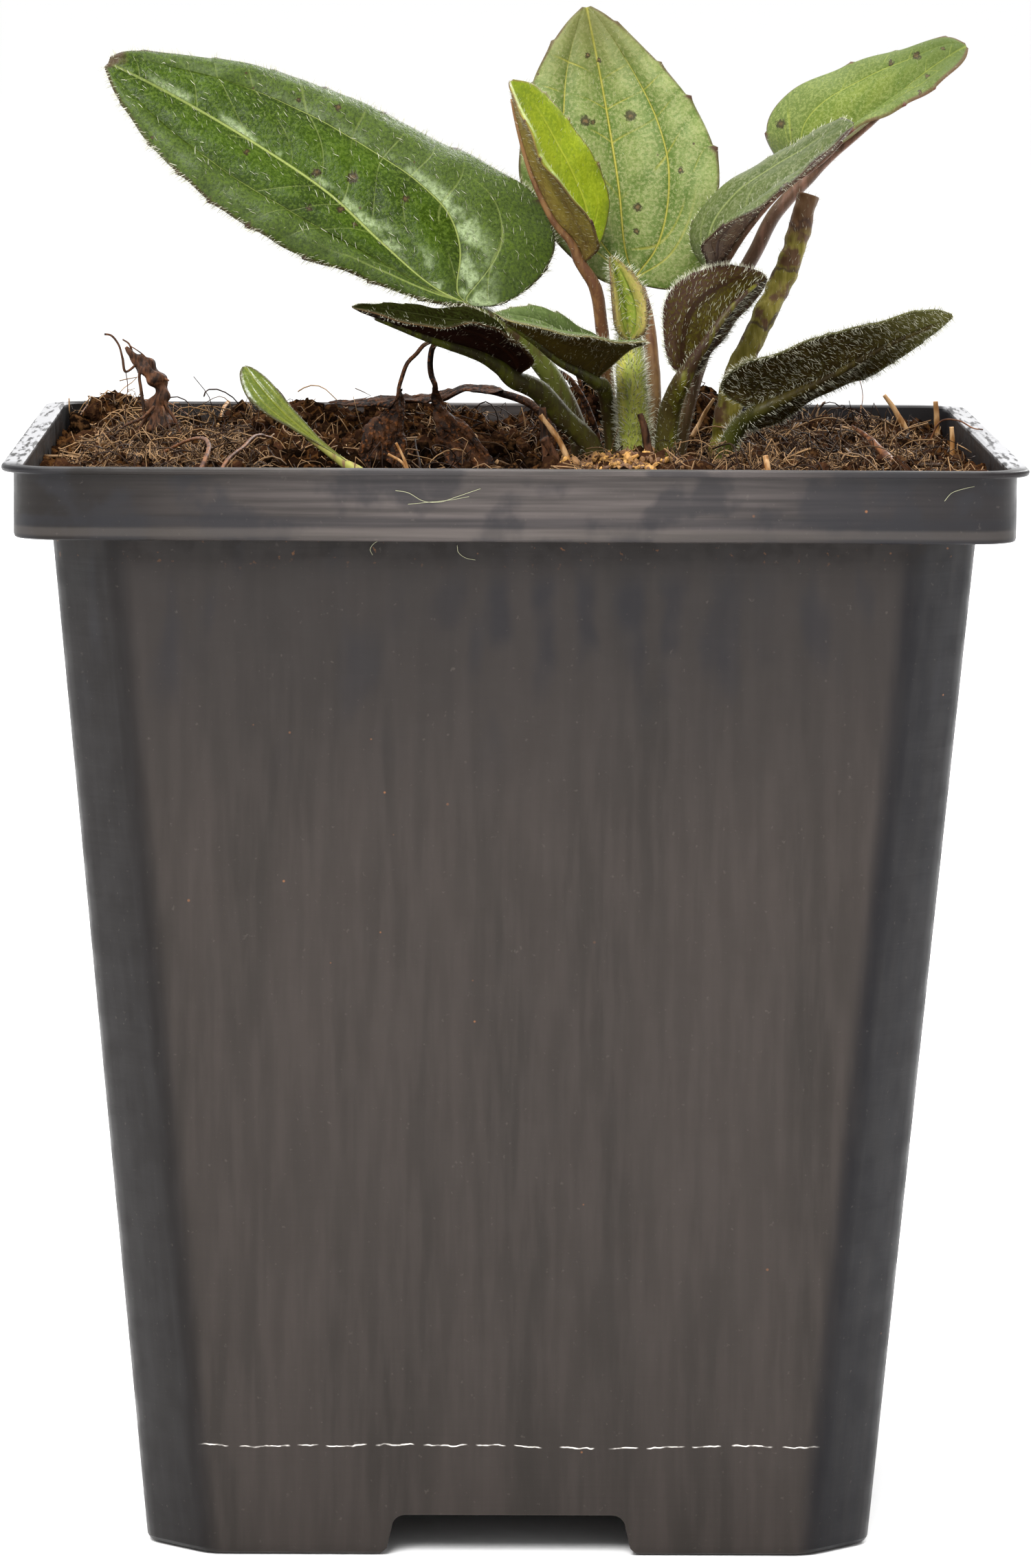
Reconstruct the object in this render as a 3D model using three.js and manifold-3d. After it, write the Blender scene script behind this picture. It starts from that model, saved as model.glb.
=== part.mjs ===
// A young black-eyed susan in a square nursery pot filled with peat.
// Millimetres, +Z up, front towards -Y, origin at the middle of the pot's base.
import * as THREE from 'three';
import { mergeVertices } from 'three/addons/utils/BufferGeometryUtils.js';
import Module from 'manifold-3d';

// Driving dimensions of the pot: half widths of its square sections, and heights
const potHeight = 98.7;
const rimHalf = 45;
const bandHalf = 43.9;
const shoulderHalf = 40.7;
const shoulderHeight = 91;
const baseHalf = 32.7;
const wall = 0.8;
const floorThickness = 0.9;
const bandBottom = 92.3;
const ledgeTop = 95.4;
const bodyChamfer = 5.5;
const rimCorner = 5;
const shoulderFlare = 0.35;
const lipThickness = 0.6;

// Driving dimensions of the channels under the floor and of the drain holes in their roof
const channelHeight = 3.8;
const channelFootWidth = 22.8;
const channelRoofWidth = 19.4;
const channelCorner = 1.2;
const centreHole = 4;
const slotRadius = 1.6;
const slotLength = 8;
const slotDistance = 18;

// Driving dimensions of the soil and of the leaves
const clearance = 0.3;
const soilHeight = 96.8;
const soilCells = 22;
const bladeThickness = 0.6;
const foldShare = 0.4;
const bladeStart = 0.02;
const bladeEnd = 0.985;
const grooveWidth = 0.15;
const ribTip = 0.35;
const ribReach = 0.9;
const stalkSides = 7;
const footSwell = 1.1;

const wasm = await Module();
wasm.setup();

// Solids from geometry, and back

function solidOf(geometry) {
  const bare = geometry.clone();
  bare.deleteAttribute('normal');
  bare.deleteAttribute('uv');
  const merged = mergeVertices(bare, 1e-5);
  const vertProperties = new Float32Array(merged.attributes.position.array);
  const triVerts = new Uint32Array(merged.index.array);
  return new wasm.Manifold(new wasm.Mesh({ numProp: 3, vertProperties, triVerts }));
}

function geometryOf(solid) {
  const mesh = solid.getMesh();
  const geometry = new THREE.BufferGeometry();
  geometry.setAttribute('position', new THREE.BufferAttribute(mesh.vertProperties, 3));
  geometry.setIndex(new THREE.BufferAttribute(mesh.triVerts, 1));
  geometry.computeVertexNormals();
  return geometry;
}

function indexedGeometry(points, triangles) {
  const geometry = new THREE.BufferGeometry();
  geometry.setAttribute('position', new THREE.Float32BufferAttribute(points.flatMap((p) => p.toArray()), 3));
  geometry.setIndex(triangles.flat());
  return geometry;
}

// A closed skin over a stack of rings with the same number of points, with a flat cap at each end
function loft(rings) {
  const count = rings[0].length;
  const points = rings.flat();
  const triangles = [];
  for (let r = 0; r + 1 < rings.length; r += 1) {
    for (let i = 0; i < count; i += 1) {
      const next = (i + 1) % count;
      const a = r * count + i;
      const b = r * count + next;
      triangles.push([a, b, b + count], [a, b + count, a + count]);
    }
  }
  const middle = (ring) => ring.reduce((sum, p) => sum.add(p), new THREE.Vector3()).divideScalar(count);
  const first = points.push(middle(rings[0])) - 1;
  const last = points.push(middle(rings.at(-1))) - 1;
  const top = (rings.length - 1) * count;
  for (let i = 0; i < count; i += 1) {
    const next = (i + 1) % count;
    triangles.push([first, next, i], [last, top + i, top + next]);
  }
  return indexedGeometry(points, triangles);
}

// Pot: a thin moulded shell, drawn as square sections from the base up the outside and down the inside

// One corner of a square section, cut by a chamfer whose two edges are softened
function chamferedCorner(half, chamfer) {
  const soft = chamfer * 0.25;
  const corner = new THREE.Vector2(half, half - chamfer);
  const start = new THREE.Vector2(half, half - chamfer - soft);
  const end = new THREE.Vector2(half - soft * 0.7, half - chamfer + soft * 0.7);
  const bend = new THREE.QuadraticBezierCurve(start, corner, end);
  const near = [start, bend.getPoint(0.5), end];
  const far = near.map((p) => new THREE.Vector2(p.y, p.x)).reverse();
  return [...near, ...far];
}

function roundCorner(half, radius) {
  const steps = [0, 1, 2, 3, 4, 5];
  return steps.map((i) => {
    const turn = (i / 5) * Math.PI / 2;
    return new THREE.Vector2(half - radius + radius * Math.cos(turn), half - radius + radius * Math.sin(turn));
  });
}

function squareRing(corner, z) {
  const ring = [];
  for (let quarter = 0; quarter < 4; quarter += 1) {
    const turn = quarter * Math.PI / 2;
    for (const p of corner) {
      const q = p.clone().rotateAround(new THREE.Vector2(), turn);
      ring.push(new THREE.Vector3(q.x, q.y, z));
    }
  }
  return ring;
}

const bodyRing = (half, z) => squareRing(chamferedCorner(half, bodyChamfer), z);
const roundRing = (half, z) => squareRing(roundCorner(half, rimCorner - (rimHalf - half)), z);

function potShell() {
  const skirtInside = bandHalf - wall;
  const outside = [
    bodyRing(baseHalf - 0.9, 0),
    bodyRing(baseHalf - 0.25, 0.3),
    bodyRing(baseHalf, floorThickness),
    bodyRing(shoulderHalf, shoulderHeight),
    bodyRing(shoulderHalf + shoulderFlare, ledgeTop - wall),
    roundRing(skirtInside, ledgeTop - wall),
    roundRing(skirtInside, bandBottom),
    roundRing(bandHalf - 0.2, bandBottom),
    roundRing(bandHalf, bandBottom + 0.3),
    roundRing(bandHalf, potHeight - lipThickness),
    roundRing(rimHalf - 0.15, potHeight - lipThickness),
    roundRing(rimHalf, potHeight - lipThickness / 2),
    roundRing(rimHalf - 0.15, potHeight),
  ];
  const inside = [
    roundRing(bandHalf - wall + 0.1, potHeight),
    roundRing(bandHalf - wall - 0.1, ledgeTop),
    bodyRing(shoulderHalf - wall + shoulderFlare, ledgeTop),
    bodyRing(shoulderHalf - wall, shoulderHeight),
    bodyRing(baseHalf - wall, floorThickness),
  ];
  return solidOf(loft([...outside, ...inside]));
}

// The space that the soil fills, everywhere one gap clear of the shell
function soilSpace(gap, top) {
  return solidOf(loft([
    bodyRing(baseHalf - wall - gap, floorThickness + gap),
    bodyRing(shoulderHalf - wall - gap, shoulderHeight),
    bodyRing(shoulderHalf - wall + shoulderFlare - gap, ledgeTop + gap),
    roundRing(bandHalf - wall - 0.1 - gap, ledgeTop + gap),
    roundRing(bandHalf - wall - gap, top),
  ]));
}

// Two channels cross under the floor. The outset thickens them, for their roof and for the soil above it.
function channels(outset, length) {
  const foot = channelFootWidth / 2 + outset;
  const roof = channelRoofWidth / 2 + outset;
  const top = channelHeight + outset;
  const shape = new THREE.Shape();
  shape.moveTo(-foot, -1);
  shape.lineTo(foot, -1);
  shape.lineTo(roof, top - channelCorner);
  shape.quadraticCurveTo(roof, top, roof - channelCorner, top);
  shape.lineTo(channelCorner - roof, top);
  shape.quadraticCurveTo(-roof, top, -roof, top - channelCorner);
  shape.closePath();
  const bar = new THREE.ExtrudeGeometry(shape, { depth: length, bevelEnabled: false, curveSegments: 3 });
  bar.translate(0, 0, -length / 2);
  bar.rotateX(Math.PI / 2);
  const across = bar.clone().rotateZ(Math.PI / 2);
  return solidOf(bar).add(solidOf(across));
}

function drainHoles() {
  const depth = 4 * channelHeight;
  const round = new THREE.Shape();
  round.absarc(0, 0, centreHole, 0, 2 * Math.PI);
  const slot = new THREE.Shape();
  const straight = slotLength / 2 - slotRadius;
  slot.absarc(straight, 0, slotRadius, -Math.PI / 2, Math.PI / 2);
  slot.absarc(-straight, 0, slotRadius, Math.PI / 2, 1.5 * Math.PI);
  slot.closePath();
  const settings = { depth, bevelEnabled: false, curveSegments: 6 };
  let holes = solidOf(new THREE.ExtrudeGeometry(round, settings));
  for (let quarter = 0; quarter < 4; quarter += 1) {
    const cutter = new THREE.ExtrudeGeometry(slot, settings);
    cutter.translate(slotDistance, 0, 0);
    cutter.rotateZ(quarter * Math.PI / 2);
    holes = holes.add(solidOf(cutter));
  }
  return holes;
}

// The channel roof reaches a little way into the walls, so that it joins them
function potSolid() {
  const intoWall = 0.1;
  const roof = channels(wall, 4 * baseHalf).intersect(soilSpace(-intoWall, ledgeTop));
  return potShell().add(roof).subtract(channels(0, 4 * baseHalf)).subtract(drainHoles());
}

// Stalks: round tapered tubes along a hand-drawn route

const vectors = (points) => points.map(([x, y, z]) => new THREE.Vector3(x, y, z));
const curveThrough = (points) => new THREE.CatmullRomCurve3(points, false, 'centripetal');

// The radius is a list with one value for each point of the route
function tube(route, radii, steps) {
  const curve = curveThrough(route);
  const frames = curve.computeFrenetFrames(steps, false);
  const rings = [];
  for (let s = 0; s <= steps; s += 1) {
    const along = curve.getUtoTmapping(s / steps) * (radii.length - 1);
    const before = Math.min(Math.floor(along), radii.length - 2);
    const radius = THREE.MathUtils.lerp(radii[before], radii[before + 1], along - before);
    const centre = curve.getPointAt(s / steps);
    const ring = [];
    for (let i = 0; i < stalkSides; i += 1) {
      const turn = (i / stalkSides) * 2 * Math.PI;
      const side = frames.normals[s].clone().multiplyScalar(radius * Math.cos(turn));
      const out = frames.binormals[s].clone().multiplyScalar(radius * Math.sin(turn));
      ring.push(centre.clone().add(side).add(out));
    }
    rings.push(ring);
  }
  return solidOf(loft(rings));
}

// Leaves: a blade stretched from the rib to the left and the right edge, with the rib and the stalk below it.
// Left and right are as seen on the upper side with the tip away.

// Arch is the swelling of each half blade as a share of its width. Groove is the depth of the side vein that
// runs along the middle of each half, and tooth is the height of the small teeth on the edge.
function bladeGrid({ rib, left, right, rows, columns, arch = 0.07, groove = 0.12, tooth = 0.2 }) {
  const ribCurve = curveThrough(vectors(rib));
  const leftCurve = curveThrough(vectors([rib[0], ...left, rib.at(-1)]));
  const rightCurve = curveThrough(vectors([rib[0], ...right, rib.at(-1)]));
  const grid = [];
  for (let r = 0; r <= rows; r += 1) {
    const u = THREE.MathUtils.lerp(bladeStart, bladeEnd, r / rows);
    const middle = ribCurve.getPointAt(u);
    const along = ribCurve.getTangentAt(u);
    const row = [];
    for (let c = -columns; c <= columns; c += 1) {
      const edge = (c < 0 ? leftCurve : rightCurve).getPointAt(u);
      const across = edge.clone().sub(middle);
      const width = across.length();
      const up = across.clone().normalize().cross(along).multiplyScalar(Math.sign(c));
      const s = Math.abs(c) / columns;
      const notch = c === -columns || c === columns ? (r % 2) * tooth * Math.sin(Math.PI * u) : 0;
      const swell = arch * width * 4 * s * (1 - s);
      const dip = groove * Math.sin(Math.PI * u) * Math.exp(-(((s - 0.5) / grooveWidth) ** 2));
      const reach = s + notch / Math.max(width, 1);
      row.push(middle.clone().addScaledVector(across, reach).addScaledVector(up, swell - dip));
    }
    grid.push(row);
  }
  return grid;
}

// The upward direction at every point of a grid
function gridNormals(grid) {
  const last = (list) => list.length - 1;
  return grid.map((row, r) => row.map((point, c) => {
    const before = grid[Math.max(r - 1, 0)][c];
    const after = grid[Math.min(r + 1, last(grid))][c];
    const leftward = row[Math.max(c - 1, 0)];
    const rightward = row[Math.min(c + 1, last(row))];
    return rightward.clone().sub(leftward).cross(after.clone().sub(before)).normalize();
  }));
}

// Half the thickness at every point of a row: less where the two halves of a folded blade come close together
function rowThickness(row) {
  const middle = (row.length - 1) / 2;
  const rooms = row.map((point, c) => {
    const otherEdge = c < middle ? row.at(-1) : row[0];
    const otherHalf = new THREE.Line3(row[middle], otherEdge);
    return otherHalf.closestPointToPoint(point, true, new THREE.Vector3()).distanceTo(point);
  });
  rooms[middle] = Math.min(rooms[middle - 1], rooms[middle + 1]);
  return rooms.map((room) => Math.min(bladeThickness / 2, foldShare * room));
}

function bladeSolid(grid) {
  const normals = gridNormals(grid);
  const rows = grid.length;
  const columns = grid[0].length;
  const halves = grid.map(rowThickness);
  const moved = (p, r, c, side) => p.clone().addScaledVector(normals[r][c], side * halves[r][c]);
  const face = (side) => grid.flatMap((row, r) => row.map((p, c) => moved(p, r, c, side)));
  const points = [...face(1), ...face(-1)];
  const under = rows * columns;
  const triangles = [];
  for (let r = 0; r + 1 < rows; r += 1) {
    for (let c = 0; c + 1 < columns; c += 1) {
      const a = r * columns + c;
      const b = a + 1;
      const d = b + columns;
      const e = a + columns;
      triangles.push([a, b, d], [a, d, e]);
      triangles.push([a + under, d + under, b + under], [a + under, e + under, d + under]);
    }
  }
  const skirt = (from, to) => {
    triangles.push([from, to, to + under], [from, to + under, from + under]);
  };
  const lastRow = (rows - 1) * columns;
  for (let r = 0; r + 1 < rows; r += 1) {
    skirt(r * columns, (r + 1) * columns);
    skirt((r + 2) * columns - 1, (r + 1) * columns - 1);
  }
  for (let c = 0; c + 1 < columns; c += 1) {
    skirt(c + 1, c);
    skirt(lastRow + c, lastRow + c + 1);
  }
  return solidOf(indexedGeometry(points, triangles));
}

// Stalk and rib are one tapered tube: it runs up the stalk and then along the underside of the blade
function leafSolid(leaf) {
  const grid = bladeGrid(leaf);
  const normals = gridNormals(grid);
  const middle = leaf.columns;
  const ribEnd = Math.round(leaf.rows * ribReach);
  const route = vectors(leaf.stalk);
  const radii = route.map((_, i) => leaf.stalkRadius * (i === 0 ? footSwell : 1));
  for (let r = 1; r <= ribEnd; r += 3) {
    const radius = THREE.MathUtils.lerp(leaf.stalkRadius, ribTip, r / ribEnd);
    route.push(grid[r][middle].clone().addScaledVector(normals[r][middle], -0.7 * radius));
    radii.push(radius);
  }
  const steps = leaf.stalk.length * 2 + Math.ceil(ribEnd / 3);
  const whole = bladeSolid(grid).add(tube(route, radii, steps));
  return largestPart(whole);
}

// A pocket sealed in between the rib and the blade counts as a part with a negative volume, and is left out
function largestPart(solid) {
  return solid.decompose().reduce((best, part) => (part.volume() > best.volume() ? part : best));
}

// The lower part of a stalk, widened and deepened by the clearance, is the plain hole that it stands in
function stalkHole(stalk, radius) {
  const route = vectors(stalk.slice(0, 3));
  route[0].z -= clearance;
  return tube(route, route.map(() => radius * footSwell + 1.2 * clearance), 4);
}

// Every leaf is a list of points chosen from the photograph's view: from the foot in the soil along the stalk,
// then the rib from base to tip, and the left and the right edge of the blade

// The largest leaf leans to the left with its upper side to the front
const leafLeft = {
  stalkRadius: 0.95,
  stalk: [[6.8, 2.8, 92.5], [6.4, 2.6, 98], [4.3, 2, 103], [0.6, 0.9, 107.6]],
  rib: [[-3.5, -1.9, 110.6], [-7.3, -2.2, 112.4], [-12.2, -1.6, 116.5], [-16.9, -0.9, 120.8],
    [-23.3, -0.4, 125.1], [-31.8, -0.1, 130], [-37.8, -0.4, 133]],
  left: [[-7.4, -2.9, 111], [-10.5, -3.3, 112.1], [-14.9, -3.6, 113.8], [-19.2, -4.1, 115.4],
    [-25, -4.1, 118.6], [-29.6, -3.7, 122], [-32.8, -3, 125.1], [-36.6, -1.5, 130.2]],
  right: [[-1.4, -1.3, 110.7], [1.8, 0.6, 112.4], [3.9, 2.7, 115.3], [3.9, 4.1, 117.7], [2.3, 5.2, 120.7],
    [-1.8, 5.4, 123.3], [-7.7, 5.2, 126.2], [-16.5, 4.7, 130.3], [-23.4, 3.7, 132.5], [-29.5, 2.4, 133.5],
    [-35.6, 0.7, 133.8]],
  rows: 20,
  columns: 4,
};

// A folded leaf, nearly level, that points to the left and towards the front
const leafLowLeft = {
  stalkRadius: 1,
  stalk: [[7.8, -0.8, 92.5], [7.5, -1, 97.4], [4.8, -2.5, 100.4], [2.2, -4.4, 103.2]],
  rib: [[0.8, -5.5, 104.6], [-2.1, -8, 106.6], [-7.3, -12, 108.4], [-11.6, -15.5, 110.1], [-14.8, -18, 111.4]],
  left: [[2, -6.7, 105.8], [1.1, -8.8, 107.1], [-1.5, -13.2, 109.3], [-4.2, -17, 109.8], [-7.3, -19, 109.8],
    [-10.4, -19.5, 110.3], [-13, -19, 110.9]],
  right: [[0.2, -3.4, 106.5], [-1.4, -3.6, 109.3], [-4.1, -4.5, 110.6], [-7.5, -6, 110.8], [-10, -9, 111.1],
    [-12.9, -14, 111.5]],
  rows: 14,
  columns: 3,
};

// The small leaf in front of it
const leafFrontSmall = {
  stalkRadius: 0.7,
  stalk: [[9.5, 0.3, 92.5], [9.4, 0.2, 97.3], [9, -0.7, 101], [8.4, -2.5, 103.4]],
  rib: [[8, -4.2, 104.2], [6.4, -7, 105.2], [4.5, -10, 106.2], [2, -13.4, 108.2], [-1.9, -17.6, 110.9]],
  left: [[10.4, -5.4, 105], [12, -8.6, 107.7], [10.4, -12, 107.8], [7.7, -15, 108.4], [5.1, -17.2, 109.1],
    [1.7, -18.8, 109.8], [-0.6, -18.6, 110.3]],
  right: [[8.5, -2.6, 105.8], [8, -1.8, 107.7], [5.9, -4.6, 109.1], [4.4, -6.8, 110.3], [1.6, -10.4, 111.1],
    [-0.4, -14.4, 111.1]],
  rows: 12,
  columns: 3,
};

// The upright leaf at the back, upper side to the front
const leafBack = {
  stalkRadius: 0.65,
  stalk: [[12.7, 4.5, 92.5], [12.8, 4.6, 97], [13.4, 5.5, 101.1], [13.2, 7, 105.5], [12.7, 8, 109.3]],
  rib: [[12, 8.5, 112.1], [10.8, 9, 115], [10, 9.5, 121.6], [8.5, 11, 130.4], [6.9, 12, 138.4]],
  left: [[9.4, 8, 112.2], [6.3, 7.8, 114.2], [3.4, 7.6, 117.2], [0.9, 7.7, 122], [0.9, 8.2, 125.6],
    [2.3, 9.5, 131.6], [4.5, 11, 136.2]],
  right: [[15, 8, 111.9], [17.6, 7.5, 113.6], [19.3, 7.5, 120.2], [19, 8, 124.4], [16.6, 9, 129.4],
    [12.2, 10.5, 134.3], [9, 11.5, 137.3]],
  rows: 18,
  columns: 4,
};

// The narrow folded leaf in front of it, upper side to the right
const leafFolded = {
  stalkRadius: 0.6,
  stalk: [[9.5, 3.7, 92.5], [9.4, 3.5, 97], [9, 3, 103.2], [8.4, 2, 108.3], [7.7, 1, 112.3]],
  rib: [[6.8, 0.5, 114.6], [5.8, 0, 116.7], [4.1, -0.5, 118.6], [1.9, -1.5, 123], [0.4, -2.5, 128.1],
    [-0.3, -3.5, 131.6]],
  left: [[8.1, -3, 116.5], [5.9, -6, 120.1], [3.3, -8, 123.6], [1.7, -8.5, 126.4], [0.6, -7.5, 128.5],
    [-0.3, -5, 130.8]],
  right: [[8.4, 2, 116.9], [9.1, 3, 119.7], [8.6, 3, 121.9], [6.6, 2, 125.6], [4.4, 0.5, 128.7],
    [1.9, -1.5, 131]],
  rows: 14,
  columns: 3,
};

// The light green leaf at the top right
const leafRightTop = {
  stalkRadius: 0.75,
  stalk: [[15.6, 2.9, 92.5], [15.7, 3, 97], [17.8, 5.5, 105], [20, 8, 110], [23, 9.5, 114.7], [25.5, 10, 119]],
  rib: [[27.6, 9.5, 121.9], [30.1, 8.5, 124.4], [34.3, 7, 127.6], [38.6, 5, 131.3], [42.3, 3, 134.8]],
  left: [[26.3, 13, 122], [24.2, 15, 125.8], [24.5, 15.5, 128], [26.3, 15, 130.2], [31.1, 13, 132.5],
    [36.3, 9.5, 134.2], [40.2, 5.5, 135.5]],
  right: [[29.4, 6.5, 122.6], [31.8, 3.7, 125.4], [35.2, 1.7, 128.5], [38.3, 1.1, 130.3], [40.9, 1.9, 132.7]],
  rows: 14,
  columns: 3,
};

// The grey-green leaf in front of it, folded along its rib
const leafRight = {
  stalkRadius: 0.75,
  stalk: [[15.7, -0.4, 92.5], [15.6, -0.4, 97.4], [16.6, -0.5, 102.1], [17.7, 0, 107.2], [18.1, 0.2, 110.4]],
  rib: [[18.6, 0, 112.8], [20.2, -0.8, 114.6], [22.3, -2, 117.7], [25.2, -3, 121.1], [28.4, -4, 124],
    [31.4, -5, 127.7]],
  left: [[18, 1.6, 113.8], [16.7, 3.6, 116.1], [17.3, 4.5, 119.1], [20.1, 4.5, 122.1], [24.2, 3, 124.3],
    [28.3, 0, 127.2], [30.3, -3, 128.1]],
  right: [[17.7, -3.2, 115.2], [17.4, -5.8, 116.6], [20.1, -8, 118.9], [23.9, -8.5, 121.4], [27.2, -7.5, 123.9],
    [29.9, -6, 126.5]],
  rows: 14,
  columns: 3,
};

// The small purple-brown leaf, underside to the front
const leafPurple = {
  stalkRadius: 1,
  stalk: [[14.1, -3.9, 92.5], [14.2, -3.9, 97.6], [14.6, -4.8, 101.4]],
  rib: [[15.7, -6, 104.1], [17.6, -7.2, 107.4], [19.5, -7.3, 110.2], [21.4, -6.4, 112.2], [23.5, -4.4, 113.6]],
  left: [[17.6, -5.4, 105.4], [18.9, -4.2, 107.5], [20.7, -3.7, 109.8], [22.9, -3.4, 112]],
  right: [[14.4, -5.4, 106.1], [13.9, -4.6, 110.7], [15.2, -4.2, 113], [18, -3.8, 114.2], [20.9, -3.4, 114.5],
    [22.7, -3.5, 114.1]],
  rows: 12,
  columns: 3,
};

// The low leaf at the right, underside to the front
const leafLowRight = {
  stalkRadius: 0.8,
  stalk: [[19.4, -3.2, 92.5], [19.7, -3.4, 97.2], [20.9, -4.7, 99.8]],
  rib: [[22, -6, 101.4], [24.9, -7, 102.9], [28.6, -9, 104.8], [34, -12.5, 108], [40, -16, 110.8]],
  left: [[21.9, -4.2, 99.6], [24.1, -3.6, 100.1], [27.7, -4.5, 102.4], [31.8, -7, 104.4], [36.5, -12, 107.5]],
  right: [[19.2, -6.8, 103.4], [20.1, -8.8, 105.3], [24.7, -11.5, 107.4], [29.5, -13.5, 109.1],
    [34, -15.5, 110.5], [38, -16.6, 111.3]],
  rows: 14,
  columns: 3,
};

// The rolled young leaf on its broad stalk
const leafYoung = {
  stalkRadius: 1.4,
  stalk: [[11.6, -2, 92.5], [11.5, -2, 97], [11.2, -2, 101], [11, -1.9, 104.7]],
  rib: [[10.9, -1.6, 107.3], [10.4, -1.2, 110.4], [9.6, -1.6, 113], [9, -2.6, 115.5]],
  left: [[9.6, -3, 108.6], [9.3, -3.6, 111.2], [9, -3.6, 113.7], [8.9, -3.2, 114.9]],
  right: [[12.4, -2.8, 108.6], [12.5, -3, 111.1], [11.4, -3.2, 113.4], [9.8, -3, 115]],
  rows: 10,
  columns: 2,
};

// The seedling leaf at the front left
const seedlingLeaf = {
  stalkRadius: 0.5,
  stalk: [[-11.6, -29, 93], [-12.6, -29.4, 95.6], [-13.6, -29.8, 97.2]],
  rib: [[-14.6, -30, 98.1], [-18.8, -30.5, 101.1], [-21.3, -30.5, 103.4], [-22.8, -30, 105.1],
    [-24.1, -29.5, 106.8]],
  left: [[-17.8, -30.8, 99.7], [-20, -31, 101.3], [-22.2, -31.2, 102.6], [-23.7, -31, 104], [-24.4, -30, 106]],
  right: [[-16.7, -30, 100.3], [-18.6, -30, 101.9], [-20, -30, 103.3], [-22, -29.5, 105.6],
    [-23.2, -29.3, 106.5]],
  rows: 10,
  columns: 2,
  tooth: 0,
};

// Two dead leaves hang to the left of the crown from arched dry stalks, and a third lies behind them
const leafDeadLong = {
  stalkRadius: 0.45,
  stalk: [[7.3, 8.6, 93], [7, 8.5, 98], [6.1, 8, 104.1], [2.4, 6, 105.9], [-1.8, 3.4, 106.9],
    [-6.6, 0.6, 107.4], [-8.4, 0.2, 106.7], [-9.4, -0.4, 105.3]],
  rib: [[-10, -1, 103.4], [-10.7, -1.3, 101.4], [-11.4, -1.8, 99.8], [-11.8, -2, 98.2]],
  left: [[-9.4, 0.4, 102.2], [-8.9, -1.8, 100.7], [-9.9, -3.4, 99]],
  right: [[-11.6, -2.8, 102], [-13.4, -1, 100.6], [-13.6, -3.2, 98.9]],
  rows: 8,
  columns: 2,
};

const leafDeadShort = {
  stalkRadius: 0.4,
  stalk: [[8.6, 6.4, 93], [8.2, 6.2, 98], [5.6, 5.2, 103.4], [2.4, 4, 105], [-1.8, -0.4, 106.2],
    [-6.3, -3.6, 107.6], [-7.4, -4, 105.7]],
  rib: [[-7.2, -4, 103.7], [-6.6, -4.4, 101.9], [-6.4, -4.6, 100.3], [-6, -4.4, 98.7]],
  left: [[-5.4, -3, 102.3], [-4.7, -5, 100.8], [-4.9, -3.6, 99.2]],
  right: [[-8.4, -5, 102.5], [-8.2, -3.2, 100.8], [-7.6, -5.4, 99.2]],
  rows: 8,
  columns: 2,
};

const leafDeadBack = {
  stalkRadius: 0.5,
  stalk: [[4.3, 14, 93], [4.2, 14, 96], [4, 14.2, 98.4], [2.2, 15.7, 100.6]],
  rib: [[-1.5, 19, 101], [-4.5, 22, 100.2], [-9, 25.5, 100.4], [-13, 28, 99.8], [-17.5, 30.5, 99.7]],
  left: [[-3.6, 18, 100.2], [-7.6, 21.2, 99.3], [-11.5, 23.5, 99.5], [-15.8, 27, 99.3]],
  right: [[-1.5, 22.5, 101.9], [-5.5, 26.5, 101.2], [-10, 29.5, 101.1], [-14.5, 31.5, 100.3]],
  rows: 8,
  columns: 2,
  tooth: 0.4,
};

// Plain stalks without a blade: route and radii from the foot up
const cutStem = {
  route: [[19.6, 1.9, 92.5], [19.9, 2, 98.2], [20.4, 2.1, 102], [21.9, 2.5, 106.4], [24.3, 3.5, 111.2],
    [26.3, 4.5, 115.8], [27.6, 5, 120.8]],
  radii: [1.35, 1.3, 1.25, 1.2, 1.2, 1.1, 1.05],
};
const brownStub = {
  route: [[3.4, -6.1, 92.5], [3.2, -6, 97], [3, -6, 99.3], [2.8, -6, 101.6]],
  radii: [0.45, 0.45, 0.4, 0.35],
};
const witheredStalk = {
  route: [[-33, 12, 93], [-32.9, 12, 97.8], [-33, 12, 100.4], [-33.6, 12, 102.4], [-34.5, 12, 104.4],
    [-36, 12, 105.8], [-38, 12, 107.3]],
  radii: [1.2, 1.3, 1.1, 1, 0.6, 0.4, 0.35],
};

// Soil: fibrous peat with a lumpy top. Each row is a heap: x, y, reach and height above the level.
const soilHeaps = [
  [11, 0, 11, 0.5],
  [-38, 36, 5, 2.6],
  [-24, 36, 6, 1.8],
  [-33, 12, 5, 0.8],
  [-4, 36, 12, 1.4],
  [30, 32, 14, 1.4],
  [-14, -30, 4, -0.8],
  [-20, -12, 5, -1.2],
];

function soilTop(x, y) {
  const waves = 0.22 * Math.sin(0.62 * x + 0.31 * y) + 0.2 * Math.sin(0.83 * y - 0.37 * x + 1.7)
    + 0.16 * Math.sin(1.33 * x + 2.1) * Math.sin(1.21 * y + 0.6);
  let height = soilHeight + waves;
  for (const [hx, hy, reach, rise] of soilHeaps) {
    height += rise * Math.exp(-((x - hx) ** 2 + (y - hy) ** 2) / reach ** 2);
  }
  return height;
}

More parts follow.
